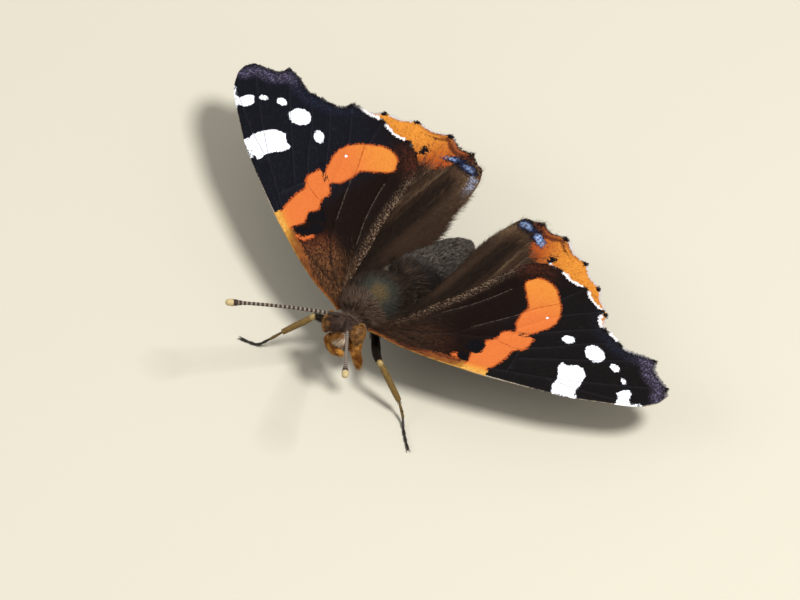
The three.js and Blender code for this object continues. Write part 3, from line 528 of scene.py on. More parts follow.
def new_object(name, points, faces, material, values=None, uv=None):
    """points in model millimetres, faces as a list of arrays of triangles or quads, values by vertex."""
    mesh = bpy.data.meshes.new(name)
    faces = [np.asarray(f, np.int32) for f in faces if len(f)]
    corners = np.concatenate([f.ravel() for f in faces])
    sizes = np.concatenate([np.full(len(f), f.shape[1], np.int32) for f in faces])
    starts = np.concatenate([[0], np.cumsum(sizes)[:-1]]).astype(np.int32)
    mesh.vertices.add(len(points))
    mesh.vertices.foreach_set("co", ((np.asarray(points) - SHIFT) * MM).astype(np.float32).ravel())
    mesh.loops.add(len(corners))
    mesh.loops.foreach_set("vertex_index", corners)
    mesh.polygons.add(len(sizes))
    mesh.polygons.foreach_set("loop_start", starts)
    mesh.update(calc_edges=True)
    for key, value in (values or {}).items():
        value = np.asarray(value, np.float32)
        kind, field = ("FLOAT", "value") if value.ndim == 1 else ("FLOAT_VECTOR", "vector")
        mesh.attributes.new(key, kind, "POINT").data.foreach_set(field, value.ravel())
    if uv is not None:
        mesh.uv_layers.new(name="OFBake").data.foreach_set("uv", uv[corners].astype(np.float32).ravel())
    mesh.shade_smooth()
    for m in material if isinstance(material, list) else [material]:
        mesh.materials.append(m)
    return in_scene(name, mesh)


def settle(thing, slot, *nodes):
    """Ties a finished piece to the frame."""
    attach(thing, "root")
    if nodes:
        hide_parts(*nodes)


class Parts:
    """Several closed forms that become one mesh."""

    def __init__(self):
        self.points, self.quads, self.tris, self.values, self.count = [], [], [], {}, 0

    def add(self, form, **values):
        points, quads, tris, own = form
        self.points.append(points)
        self.quads.append(np.asarray(quads, int).reshape(-1, 4) + self.count)
        self.tris.append(np.asarray(tris, int).reshape(-1, 3) + self.count)
        for key, value in {**own, **values}.items():
            self.values.setdefault(key, []).append(np.broadcast_to(value, (len(points),)))
        self.count += len(points)

    def join(self):
        values = {key: np.concatenate(value) for key, value in self.values.items()}
        return (*(np.concatenate(part) for part in (self.points, self.quads, self.tris)), values)


def ring_faces(rows, sides):
    """Quads between rings of points, and the fans to the two end points that follow the rings."""
    k = np.arange(sides)
    nxt = (k + 1) % sides
    quad = np.stack([k, nxt, nxt + sides, k + sides], 1)
    quads = np.concatenate([quad + i * sides for i in range(rows - 1)])
    end = rows * sides
    fans = [np.stack([end + 0 * k, nxt, k], 1),
            np.stack([end + 1 + 0 * k, end - sides + k, end - sides + nxt], 1)]
    return quads, np.concatenate(fans)


def tube(path, radii, sides=14):
    """A round closed form along a path, with its place along it."""
    path, radii = np.asarray(path, float), np.asarray(radii, float)
    along = along_line(path)
    side = np.array([0, 0, 1.0]) if abs(along[0][2]) < 0.8 else np.array([1.0, 0, 0])
    a = np.linspace(0, 2 * np.pi, sides, endpoint=False)[:, None]
    rings = []
    for p, t, r in zip(path, along, radii):
        side = unit(side - t * (side @ t))
        rings.append(p + r * (np.cos(a) * side + np.sin(a) * np.cross(t, side)))
    ends = [path[0] - along[0] * radii[0] * 0.5, path[-1] + along[-1] * radii[-1] * 0.5]
    distance = np.concatenate([[0], np.cumsum(np.linalg.norm(np.diff(path, axis=0), axis=1))])
    reach = np.concatenate([np.repeat(distance, sides), [0, distance[-1]]])
    return (np.concatenate(rings + [ends]), *ring_faces(len(path), sides), {"reach": reach})


def ball(centre, radii, rows=24, sides=32):
    """A closed ellipsoid."""
    a = np.linspace(0, np.pi, rows + 1)[1:-1, None]
    b = np.linspace(0, 2 * np.pi, sides, endpoint=False)[None, :]
    grid = np.stack([np.sin(a) * np.cos(b), np.sin(a) * np.sin(b), -np.cos(a) + 0 * b], 2).reshape(-1, 3)
    points = np.concatenate([grid, [[0, 0, -1], [0, 0, 1]]]) * radii + centre
    return (points, *ring_faces(rows - 1, sides), {})


def head_way(p):
    """Directions of the head's own frame in the model's."""
    return turned(turned(np.atleast_2d(p), 1, -HEAD_ROLL), 2, HEAD_YAW)


def in_head(p):
    return HEAD_CENTRE + head_way(p)


# Materials
def tint(text):
    """A colour as six hex digits, in linear light."""
    s = [int(text[i:i + 2], 16) / 255 for i in (0, 2, 4)]
    return tuple(c / 12.92 if c <= 0.04045 else ((c + 0.055) / 1.055) ** 2.4 for c in s) + (1.0,)


class Value:
    """What a material works out at each point, so that its sums are written as sums."""

    def __init__(self, look, socket):
        self.look, self.socket = look, socket

    def __add__(self, other):
        return self.look.calc("ADD", self, other)

    def __sub__(self, other):
        return self.look.calc("SUBTRACT", self, other)

    def __mul__(self, other):
        return self.look.calc("MULTIPLY", self, other)


class Look:
    """A node material from short calls. A word stands for a mesh attribute, six hex digits for a colour."""
    where = "place"

    def __init__(self, name, rough, shine=0.5, colour=None):
        self.mat = bpy.data.materials.new(name)
        self.mat.use_nodes = True
        self.tree = self.mat.node_tree
        self.base = self.tree.nodes["Principled BSDF"]
        self.base.inputs["Roughness"].default_value = rough
        self.base.inputs["Specular IOR Level"].default_value = shine
        self.colour = colour and tint(colour)

    def put(self, socket, value):
        value = self.read(value) if isinstance(value, str) else value
        if isinstance(value, Value):
            self.tree.links.new(value.socket, socket)
        elif value is not None:
            socket.default_value = value

    def node(self, kind, *inputs, out=0, **settings):
        made = self.tree.nodes.new("ShaderNode" + kind)
        for key, value in settings.items():
            setattr(made, key, value)
        for socket, value in zip(made.inputs, inputs):
            self.put(socket, value)
        return Value(self, made.outputs[out])

    def read(self, name, out=2):
        return self.node("Attribute", out=out, attribute_name=name)

    def calc(self, operation, a, b=0.0):
        return self.node("Math", a, b, operation=operation)

    def ramp(self, x, low, high, start=0.0, end=1.0):
        return self.node("MapRange", x, low, high, start, end, interpolation_type="SMOOTHSTEP")

    def blend(self, share, *colours):
        a, b = (tint(colour) if isinstance(colour, str) else colour for colour in colours)
        return self.node("Mix", share, *[None] * 5, a, b, out=2, data_type="RGBA")

    def cover(self, share, colour):
        """Lays a colour over what is there."""
        self.colour = self.blend(share, self.colour, colour)

    def at(self, stretch):
        return self.node("Mapping", self.read(self.where, 1), (0, 0, 0), (0, 0, 0), stretch)

    def noise(self, scale, detail=3.0, stretch=(1, 1, 1)):
        return self.node("TexNoise", self.at(stretch), None, scale, detail, 0.55)

    def cells(self, scale, stretch=(1, 1, 1), out=0):
        return self.node("TexVoronoi", self.at(stretch), None, scale, out=out)

    def finish(self, height=None, strength=0.3, distance=1.2e-4):
        self.put(self.base.inputs["Base Color"], self.colour)
        if height is not None:
            bump = self.tree.nodes.new("ShaderNodeBump")
            bump.inputs["Strength"].default_value = strength
            bump.inputs["Distance"].default_value = distance
            self.put(bump.inputs["Height"], height)
            self.tree.links.new(bump.outputs[0], self.base.inputs["Normal"])
        return self.mat


class WingLook(Look):
    """Rows of scales: a random tone by scale, a finer dust, their raised edges, and markings over them."""
    where = "wing"

    def __init__(self, name, rough, shine):
        super().__init__(name, rough, shine)
        self.tone, self.dust = (self.node("SeparateColor", self.cells(1.0, size, out=1))
                                for size in (SCALE, DUST))
        self.edge = self.cells(1.0, SCALE)
        self.drift = self.noise(0.9)
        self.fine = self.noise(14.0, 2.0)

    def mark(self, name, colour, ragged=0.16, soft=0.05, by=None):
        """Lays a marking where its depth is positive, with an edge as ragged as its scales."""
        shaken = ((by or self.tone) - 0.5) * (2 * ragged) + name
        self.cover(self.ramp(shaken, -soft, soft), colour)

    def seam(self, name, colour):
        """Draws a thin line, from the distance across it and its half width."""
        across, half = (self.node("SeparateXYZ", self.read(name, 1), out=k) for k in (0, 1))
        shaken = (self.tone - 0.5) * 0.08 + (half - self.calc("ABSOLUTE", across))
        self.cover(self.ramp(shaken, -0.05, 0.08), colour)


def forewing_look():
    look = WingLook("forewing_top", 0.6, 0.05)
    tone, dust, fine = look.tone, look.dust, look.fine
    streak = look.ramp(look.noise(1.5, 4.0, (0.8, 7.0, 1)), 0.42, 0.7)
    worn_off = look.ramp(streak + dust, 1.25, 1.7)
    night = look.blend(worn_off, "0b0b12", "1c1c24")
    # Painted blue sheen: on the right wing the black is made bluer than on the left
    night = look.blend("cool_sheen", look.blend(worn_off, "0b0807", "181311"), night)
    # Painted highlight: the black is lighter along the veins
    night = look.blend(look.ramp("vein", 0.1, 0.03, 0.0, 0.4), night, "201e23")
    look.colour = look.blend("brown", night, look.blend(streak * 0.6 + look.drift * 0.5, "080302", "160b06"))
    look.cover(look.ramp(tone, 0.1, 0.8) * "tornus", "54291a")
    # Painted sheen: violet-blue glints laid into the colour near the apex margin
    sheen_specks = look.ramp(look.noise(2.2, 5.0, (3.0, 1.2, 1)), 0.42, 0.66) * look.ramp(dust, 0.25, 0.8)
    look.cover((sheen_specks * 0.85 + 0.08) * "sheen", look.blend("violet", "2d3752", "645c76"))
    look.cover("haze", look.blend(streak, "170e0a", "33221a"))
    # Painted coppery sheen over the wing base, its specks redder further out and broken by dark veins
    copper_sheen = look.blend("ember", look.blend(look.ramp(tone, 0.1, 1.0), "4a2b1b", "70492b"), "4a1d10")
    copper_sheen = look.blend(look.ramp("vein", 0.2, 0.04, 0.0, 0.75), copper_sheen, "1a0f0a")
    look.cover(look.ramp(streak * 0.7 + tone, -0.1, 1.2) * "copper_sheen", copper_sheen)
    look.cover(look.read("gold") * 0.8, look.blend(streak, "1a100a", "2e1f16"))
    look.cover(look.ramp(fine * 0.5 + dust, 0.75, 1.35) * "gold", "7c6855")
    worn = look.ramp(fine * 0.6 + look.drift, 0.5, 1.1)
    rust = look.blend("haze", look.blend(worn, "552c14", "7d4a20"), "4a2416")
    look.mark("costa", look.blend("warm", rust, look.blend(worn, "a06c26", "cc9a3c")), 0.14)
    look.mark("edge", look.blend("brown", "9c9080", "a07a3c"), 0.03, 0.06)
    look.mark("stem", "4a1d10", 0.12, 0.1)
    look.mark("pale", "40362f", 0.05, 0.02, dust)
    orange = look.blend("yellow", "b5602d", "b8752c")
    orange = look.blend(look.ramp(tone, 0.5, 1.0, 0.0, 0.3), orange, "a04b1e")
    orange = look.blend(look.ramp("orange", 0.0, 0.3), "8a3d18", orange)
    look.mark("orange", look.blend("amber", orange, look.blend(tone, "a3722c", "c09044")), 0.15)
    for k in range(len(BAND_SEAMS)):
        look.seam(f"seam_{k}", "93421a")
    look.mark("black", "060508", 0.17)
    snow = look.blend(look.ramp(tone, 0.6, 1.0), "f0f3f9", "d6dbe5")
    look.mark("white", look.blend(look.ramp("vein", 0.075, 0.035, 0.0, 0.75), snow, "3c3a44"), 0.09)
    return look.finish(look.edge * 0.6 + fine * 0.7)


def hindwing_look():
    look = WingLook("hindwing_top", 0.65, 0.05)
    tone, dust = look.tone, look.dust
    look.colour = look.blend(look.ramp(look.noise(1.2, 4.0, (1.3, 0.14, 1)), 0.36, 0.66), "140c08", "302015")
    look.cover("rear", look.blend(tone, "35251a", "5a4431"))
    look.cover(look.ramp(dust, 0.5, 0.9) * "gold", "8a7152")
    orange = look.blend("yellow", "8c3e16", "b9762b")
    orange = look.blend(look.ramp(tone, 0.4, 1.0, 0.0, 0.45), orange, "74300f")
    look.mark("orange", look.blend("rim", orange, look.blend(tone, "4f2414", "854526")), 0.4, 0.12)
    look.mark("wave", "4c220f", 0.08, 0.14)
    look.mark("black", "08080d", 0.24)
    pale = look.blend(look.ramp(dust, 0.25, 0.8), "5c719c", "9fb4d6")
    look.mark("blue", look.blend(look.ramp(tone, 0.05, 0.6) * "bluecore", "182548", pale), 0.2, 0.06)
    look.mark("violet", look.blend(dust, "2f2f3a", "8d93a6"), 0.2, 0.1)
    look.mark("glint", "b8c8e0", 0.08)
    return look.finish(look.edge * 0.6 + look.fine * 0.7)


def forewing_under_look():
    look = WingLook("forewing_under", 0.7, 0.1)
    brown = look.blend(look.ramp(look.noise(0.7), 0.35, 0.65), "3a2a20", "7b6753")
    look.colour = look.blend("apex", "17131a", brown)
    look.mark("orange", look.blend("yellow", "d4432c", "e98a5a"), 0.2)
    look.mark("ring", "6f93c4", 0.2)
    look.mark("white", "ece4d8", 0.15)
    return look.finish(look.edge)


def hindwing_under_look():
    look = WingLook("hindwing_under", 0.75, 0.1)
    look.colour = look.blend(look.ramp(look.noise(1.0, 6.0, (0.5, 0.8, 1)), 0.38, 0.6), "1d1712", "5d4a38")
    look.cover(look.ramp(look.noise(1.3, 4.0, (0.35, 0.25, 1)), 0.52, 0.68), "8b7a66")
    look.cover(look.ramp(look.noise(0.5), 0.55, 0.7), "3d3f2c")
    lines = look.node("TexWave", look.at((0.6, 0.6, 1)), 0.55, 5.0, 3.0, wave_type="RINGS")
    look.cover(look.ramp(lines, 0.75, 0.95, 0.0, 0.5), "14100e")
    look.mark("eyespot", "2b3d4d", 0.2)
    look.mark("eyecore", "0b0a0c", 0.1)
    look.mark("costa", "a8937a", 0.4, 0.4)
    return look.finish(look.edge)


def fringe_look():
    look = Look("fringe_scales", 0.75, 0.08)
    look.colour = look.blend("tone", "1a1413", "efe9ea")
    return look.finish()


def fur_look(name, roots, tips, glints=None, gloss=0.55):
    """Hairs from roots to tips, each between two shades. A patch of 0.5 gives one glint, of 1 the other."""
    look = Look(name, gloss, 0.12)
    light = look.blend(look.ramp("shade", 0.3, 1.0), *tips)
    look.colour = look.blend("tip", look.blend("shade", *roots), light)
    if glints:
        look.cover(look.ramp("patch", 0.0, 0.5), look.blend(look.ramp("patch", 0.45, 0.95), *glints))
    return look.finish()


def body_look():
    look = Look("body_skin", 0.6, 0.1)
    grain = look.noise(2.5)
    look.colour = look.blend(look.ramp(grain, 0.35, 0.65), "0e0b09", "1f1813")
    return look.finish(grain, 0.4, 1e-4)


def eye_look():
    look = Look("eye", 0.55, 0.25)
    # Painted light and shade: the lit share sets how much of the lighter brown an eye gets
    look.colour = look.blend(look.ramp(look.noise(2.6), 0.38, 0.62) * "lit", "3a220e", "7c5222")
    return look.finish(look.cells(9.0), 0.5, 4e-5)


def antenna_look():
    look = Look("antenna_rings", 0.5, 0.2)
    turn = look.calc("FRACT", look.read("reach") * (1 / RING_STEP))
    ringed = look.ramp(turn, 0.46, 0.6) * look.ramp("reach", 12.9, 12.2) * look.ramp("ringed", 0.2, 0.6)
    # Painted shade: the pale rings are darker where lit is low
    look.colour = look.blend(ringed, "2c211b", look.blend("lit", "5f564b", "a8988a"))
    look.cover(look.ramp("reach", 13.1, 13.25), "a6946c")
    return look.finish(look.noise(9.0), 0.2, 3e-5)


def palp_look():
    look = Look("palp_skin", 0.6, 0.15)
    look.colour = look.blend(look.noise(3.0), "5c3215", "8d5524")
    return look.finish()


def horn_look():
    look = Look("horn", 0.35)
    rings = look.calc("FRACT", look.read("reach") * 6.0)
    look.colour = look.blend(rings, "1e130c", "4a2f1c")
    return look.finish(rings, 0.4, 3e-5)


def leg_look():
    look = Look("leg", 0.4, 0.4)
    grain = look.noise(6.4)
    share = look.ramp(grain, 0.35, 0.65)
    dark = look.blend(share, "0f0c0a", "1f1813")
    # The tibiae's own tan, darkened as painted shade for the shadow of the wings
    look.colour = look.blend("pale", dark, look.blend(share, "42310f", "705420"))
    look.cover("knee", "8a7444")
    return look.finish(grain, 0.4, 5e-5)


# Hair
def strands(name, roots, aim, out, length, width, material, uv, values=None, rings=(0, 0.5), droop=0.25):
    """Tapered three-sided hairs that leave the skin along aim, rise towards out and droop to their tips."""
    n = len(roots)
    aim, out = unit(aim), unit(out)
    end = unit(aim - out * droop + rng.normal(0, STRAY, (n, 3)))
    side = unit(np.cross(aim, out))
    length, width = (np.broadcast_to(size, n)[:, None] for size in (length, width))
    points = []
    for t in rings:
        centre = roots + length * (aim * t + (end - aim) * t * t / 2)
        wide = width * (1 - TAPER * t**1.5)
        points += [centre + wide * (side * math.cos(a) + out * 0.5 * math.sin(a)) for a in THIRDS]
    points.append(roots + length * (aim + (end - aim) / 2))
    per = len(points)
    pattern = []
    for a in range(per - 4):
        b = a + 1 if a % 3 < 2 else a - 2
        pattern += [(a, b, b + 3), (a, b + 3, a + 3)]
    a, b, c, end_point = range(per - 4, per)
    pattern += [(a, b, end_point), (b, c, end_point), (c, a, end_point), (0, 2, 1)]
    faces = (np.arange(n)[:, None, None] * per + np.array(pattern)[None]).reshape(-1, 3)
    patch = [[PATCH / 2 * math.cos(k * THIRDS[1]), PATCH * (k // 3) / len(rings)] for k in range(per)]
    where = (np.asarray(uv)[:, None, :] + np.array(patch)[None]).reshape(-1, 2)
    data = {"tip": np.tile([*np.repeat(rings, 3), 1], n), "shade": np.repeat(rng.uniform(0, 1, n), per)}
    data.update({key: np.repeat(value, per, axis=0) for key, value in (values or {}).items()})
    return new_object(name, np.stack(points, 1).reshape(-1, 3), [faces], material, data, np.clip(where, 0, 1))


def by_place(value, *place):
    """A size that is one for all, or worked out from each place."""
    return value(*place) if callable(value) else value


# The wings
WING_LOOKS = {"forewing": [forewing_look(), forewing_under_look()],
              "hindwing": [hindwing_look(), hindwing_under_look()]}


def forewing_marks(side, p):
    u, v = p.T
    from_costa = line_distance(p, curve(FOREWING["costa"], 0.5))
    rear = line_distance(p, wing_line("forewing", "rear", side))
    margin = line_distance(p, wing_line("forewing", "margin", side, 0.3))
    white = np.max([area_depth(p, WHITE_BAR[side]), area_depth(p, COSTAL_PATCH[side]) + 0.05,
                    *(spot_depth(p, spot) for spot in WHITE_SPOTS[side]),
                    *(0.14 - line_distance(p, line) for line in WHITE_EDGES)], axis=0)
    dark = [*(area_depth(p, mark) for mark in CELL_MARKS[side]), 0.14 - line_distance(p, BAND_GAP)]
    veins = [curve(FOREWING["veins"][k], 0.5)[start:stop] for k, start, stop in PALE_VEINS]
    strip = 0.35 + 0.75 * smooth(1, 9, u) * (1 - smooth(11.4, 12.4, u))
    stem = np.where((u > 2.5) & (u < 9.5) & (side == "L"), 0.12 - np.abs(from_costa - 0.8 * strip), -1)
    outer = smooth(11.5, 15, u - 0.35 * v + 2.0)
    # Painted sheen: a band just inside the outer margin, strongest and most violet at the apex
    sheen_band = smooth(0.1, 0.7, margin) * smooth(2.0, 0.9, margin)
    return {
        **{f"seam_{k}": seam_line(p, line, BAND_SEAM_WIDTH) for k, line in enumerate(BAND_SEAMS)},
        "white": white,
        "orange": np.maximum(area_depth(p, BAND), 0.26 - line_distance(p, BAND_FLECK[side])),
        "black": np.max(dark, axis=0),
        "pale": np.max([0.03 - line_distance(p, vein) for vein in veins], axis=0),
        "costa": np.where(u < 12.3, strip - from_costa, -1),
        "edge": 0.075 * smooth(5, 8, u) * smooth(18, 12, u) - from_costa,
        "stem": stem,
        "warm": smooth(*COSTAL_WARMTH[side], u) * smooth(0.95, 0.35, from_costa),
        "yellow": np.clip(smooth(-1.2, -2.4, v) + smooth(6, 11, v) * 0.75, 0, 1),
        "brown": 1 - outer * (1 - 0.75 * smooth(9.5, 13.5, v)),
        "amber": smooth(-1.5, -2.3, v) * smooth(0.9, 0.45, from_costa),
        "ember": 0.8 * smooth(4.5, 8.5, u),
        "copper_sheen": COPPER_SHEEN[side] * smooth(9.3, 6.5, u) * smooth(3.2, 1.0, v),
        "gold": 0.95 * (1 - smooth(0.25, 1.2, rear)) * (1 - smooth(10, 14, u)),
        "haze": HAZE[side] * (1 - smooth(3, 9, u)),
        "sheen": sheen_band * (0.85 * smooth(27.0, 29.0, u + 0.15 * v) + 0.45 * smooth(20.5, 23.5, u)),
        "violet": smooth(25.5, 28, u),
        "cool_sheen": np.full(len(p), COOL_SHEEN[side]),
        "tornus": 0.4 * smooth(10.5, 13.5, v) * smooth(3.5, 1.0, np.hypot(u - 14.2, (v - 12.4) * 1.2)),
        "apex": smooth(23, 27, u),
        "ring": 0.35 - np.abs(np.hypot(u - 9.5, (v - 0.2) * 1.6) - 2.2),
    }


def hindwing_marks(side, p):
    u, v = p.T
    from_margin = line_distance(p, curve(HINDWING["margin"], 0.3))
    rear = line_distance(p, wing_line("hindwing", "rear", side))
    at_tip = np.min([np.hypot(*(p - vein[-1]).T) for vein in HINDWING["veins"][1:]], axis=0)
    eyes = np.min([np.hypot(u - x, v - y) for x, y, _, _ in HIND_SPOTS], axis=0)
    bays = from_margin - 0.66 - 0.2 * np.clip(at_tip - 0.5, -0.4, 0.8)
    blue = np.max([spot_depth(p, spot) for spot in BLUE_MARKS[side]], axis=0)
    dark = [*(spot_depth(p, spot) for spot in HIND_SPOTS), blue + BLUE_BORDER[side] * smooth(5.2, 3.6, u),
            0.5 - at_tip - 0.5 * from_margin]
    none = np.full(len(p), -1)
    corner = smooth(1.5, 0.2, rear) * smooth(16.8, 18, v)
    return {
        "orange": np.minimum(HIND_BAND_WIDTH * smooth(1.8, 5.5, u) - from_margin, 0.9 * (u - 1.2)),
        "black": np.max(dark, axis=0),
        "wave": 0.36 * smooth(10, 6.0, u) - 0.14 - np.abs(bays),
        "blue": blue,
        "bluecore": smooth(-0.02, 0.2, blue) * BLUE_GLOW[side] * smooth(-1, 3.5, u),
        "violet": 0.33 - line_distance(p, VIOLET_MARK) if side == "R" else none,
        "glint": spot_depth(p, BLUE_GLINT) if side == "L" else none,
        "yellow": smooth(3.5, 9.5, u + 0.8 * (2.2 - from_margin)),
        "rim": np.maximum(0.8 * smooth(0.6, 0.3, from_margin) * smooth(12, 7, u),
                          0.85 * smooth(6.3, 4.8, u) * smooth(1.3, 0.8, from_margin)),
        "rear": 0.6 * smooth(12, 19, v) * smooth(5, 2, u),
        "gold": 0.5 * (1 - smooth(0.5, 2.2, rear)) * smooth(10, 16, v) + 0.4 * corner,
        "eyespot": 0.85 - eyes,
        "eyecore": 0.4 - eyes,
        "costa": 0.7 - np.hypot(u - 9, (v - 0.6) * 1.5),
    }


MARKS = {"forewing": forewing_marks, "hindwing": hindwing_marks}


def wing_uv(p):
    return (p + UV_START) / UV_SPAN


def wing_skin(kind, side, plan, faces):
    ridge, sag, distance = relief(kind, side, plan)
    up = place(kind, side, plan, MEMBRANE / 2 + ridge - sag)
    under = place(kind, side, plan, -MEMBRANE / 2 - 0.8 * ridge - sag)
    n = len(plan)
    (bx, by), (cx, cy) = ((plan[faces[:, k]] - plan[faces[:, 0]]).T for k in (1, 2))
    faces = np.where((bx * cy > by * cx)[:, None] == (side == "L"), faces, faces[:, ::-1])
    rim = ring_edges(faces)
    quads = np.stack([rim[:, 0], rim[:, 0] + n, rim[:, 1] + n, rim[:, 1]], 1)
    marks = {key: np.concatenate([value, value]) for key, value in MARKS[kind](side, plan).items()}
    marks["vein"] = np.tile(distance, 2)
    marks["wing"] = np.tile(np.column_stack([plan, np.zeros(n)]), (2, 1))
    skin = new_object(f"{kind}_skin_{side}", np.concatenate([up, under]), [faces, faces[:, ::-1] + n, quads],
                      WING_LOOKS[kind], marks, wing_uv(np.concatenate([plan, plan + UNDERSIDE_UV])))
    slots = np.zeros(len(skin.data.polygons), np.int32)
    slots[len(faces):2 * len(faces)] = 1
    skin.data.polygons.foreach_set("material_index", slots)
    settle(skin, f"{kind}_scales", f"{kind}_{side}")


FRINGE_LOOK = fringe_look()


def wing_fringe(kind, side, membrane, margin):
    """Scale vanes that stand out all along the outer margin, chequered between the vein tips."""
    at = np.linspace(0, len(margin) - 1, FRINGE_VANES)
    whole = at.astype(int).clip(0, len(margin) - 2)
    part = (at - whole)[:, None]
    base, tip = (line[whole] * (1 - part) + line[whole + 1] * part for line in (membrane, margin))
    n = len(base)
    outward = -across_line(tip)
    gap = tip_gap(kind, tip, margin)
    wide = np.linalg.norm(tip - base, axis=1)
    white = smooth(0.3, 0.55, gap + rng.normal(0, 0.08, n))
    if kind == "forewing":
        start, least = WHITE_FRINGE[side]
        white *= (least + (1 - least) * smooth(start, start + 0.8, tip[:, 1])) * smooth(14.1, 13.6, tip[:, 1])
    else:
        white *= 0.62 * smooth(4.6, 7.2, tip[:, 0])
    base = base + rng.normal(0, 0.03, (n, 2))
    start = place(kind, side, base - outward * 0.12, rng.uniform(-0.04, 0.06, n))
    stop = place(kind, side, base + outward + rng.normal(0, 0.16, (n, 2)), 0.05)
    tuft = TIP_TUFT[kind] * smooth(0.4, 0.1, gap)
    knots = np.arange(0, n + 12, 12)
    ragged = 0.12 * np.abs(np.interp(np.arange(n), knots, rng.normal(0, 1, len(knots))))
    length = (wide + tuft + ragged + 0.1) * rng.uniform(0.75, 1.15, n)
    settle(strands(f"fringe_{kind}_{side}", start, stop - start, off_sheet(kind, side, base), length, 0.06,
                   FRINGE_LOOK, wing_uv(base), {"tone": white}, rings=(0, 0.35, 0.75), droop=0.1),
           f"{kind}_scales")


for kind in SHAPES:
    for side in "LR":
        plan, faces, margin, membrane = wing_plan(kind, side)
        wing_skin(kind, side, plan, faces)
        wing_fringe(kind, side, membrane, margin)

# Hair on the wings' bases and along the hindwings' inner side
# The right forewing's hair has lighter coppery tips than the left's: painted coppery sheen, as on that wing's
# base
FOREWING_HAIR = {"L": fur_look("forewing_hair_left", ("160d09", "21150e"), ("2a1c14", "5e4534")),
                 "R": fur_look("forewing_hair_right", ("1c110b", "2c1a10"), ("3c2618", "86603c"))}
# The hindwing hair's glints carry the painted light and shade of its pleats
HINDWING_HAIR = fur_look("hindwing_hair", ("100a07", "1c130c"), ("1b120d", "392a1f"), ("3f2e22", "66513d"))


def wing_hair(kind, side, look, region, lie, count, width, length, rise=0.14, patch=None):
    """Long hair scales over part of a wing. region gives each point's share, and lie its direction."""
    loop = outline(kind, side)[0]
    p = rng.uniform(loop.min(0), loop.max(0), (count * 8, 2))
    p = p[inside(p, loop)]
    p = p[rng.uniform(0, 1, len(p)) < region(*p.T)][:count]
    ridge, sag, _ = relief(kind, side, p)
    lift = MEMBRANE / 2 + ridge - sag - 0.02
    start = place(kind, side, p, lift)
    stop = place(kind, side, p + 0.2 * unit(np.stack(lie(*p.T), 1)) + rng.normal(0, 0.03, p.shape), lift)
    up = off_sheet(kind, side, p)
    aim = unit(stop - start) + up * rng.uniform(0.3 * rise, 1.5 * rise, len(p))[:, None]
    long = length(*p.T) * rng.uniform(0.6, 1.2, len(p))
    settle(strands(f"coat_{kind}_{side}", start, aim, up, long, width, look, wing_uv(p),
                   {"patch": patch(*p.T)} if patch else None, droop=0.12), f"{kind}_scales")


def forewing_rear(u, v):
    return line_distance(np.stack([u, v], 1), wing_line("forewing", "rear", "L"))


def forewing_hairy(u, v):
    rear = forewing_rear(u, v)
    return 0.8 * (1 - smooth(1.5, 7, u)) + 0.6 * (1 - smooth(0.5, 1.3, rear)) * (1 - smooth(9, 13, u))


def forewing_hair_length(u, v):
    return (1.25 - 0.06 * u) * (0.4 + 0.6 * smooth(0.8, 1.8, forewing_rear(u, v) + 2 * smooth(5, 2, u)))


def hindwing_hairy(u, v):
    inner = (1 - smooth(4.5, 9.5, u + 0.12 * v)) * (1 - 0.85 * smooth(16.5, 18.5, v))
    return 0.55 * inner + 0.45 * (u < 0.9) * (1 - smooth(17.0, 19, v))


def fold_light(u, v):
    """Painted light and shade on the hindwing's pleats: light along the inner edge and outward, dark in the
    valley between.
    """
    inner = 0.36 * smooth(1.9, 0.9, u) + 0.12 * smooth(0.6, -0.3, u)
    inner = inner + 0.3 * smooth(14, 19, v) * smooth(2, 0.5, u)
    clump = 0.2 * np.sin(5.2 * u + 1.3 * np.sin(0.5 * v)) + 0.2 * np.sin(11.0 * u + 2.0 * np.sin(0.35 * v))
    light = (inner + (0.5 + clump) * smooth(2.7, 3.8, u)) * (0.25 + 0.75 * smooth(2, 8, v))
    return light + 0.15 * smooth(15, 19, v)


for side in "LR":
    wing_hair("forewing", side, FOREWING_HAIR[side], forewing_hairy,
              lambda u, v: (1 + 0 * u, 0.15 + 0.06 * v), count=5200, width=0.018, length=forewing_hair_length)
    wing_hair("hindwing", side, HINDWING_HAIR, hindwing_hairy,
              lambda u, v: (0.12 + 0.035 * u - 0.5 * smooth(1.5, 0.0, u), 1 + 0 * v),
              count=13000, width=0.022, length=lambda u, v: 1.7 - 0.035 * v, rise=0.16, patch=fold_light)


# The body: one skin over head, thorax and abdomen
def node_form(name):
    """A solid's own points and triangles, in model millimetres."""
    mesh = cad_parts[name].data
    mesh.calc_loop_triangles()
    return rows_of(mesh.vertices, "co") / MM + SHIFT, [], rows_of(mesh.loop_triangles, "vertices", int), {}


def coat_depth(p):
    """How far the skin lies inside the solids, where the fur makes up the rest."""
    return 0.3 + 0.15 * smooth(-1, 1, p[:, 1]) - 0.15 * smooth(6, 9, p[:, 1])


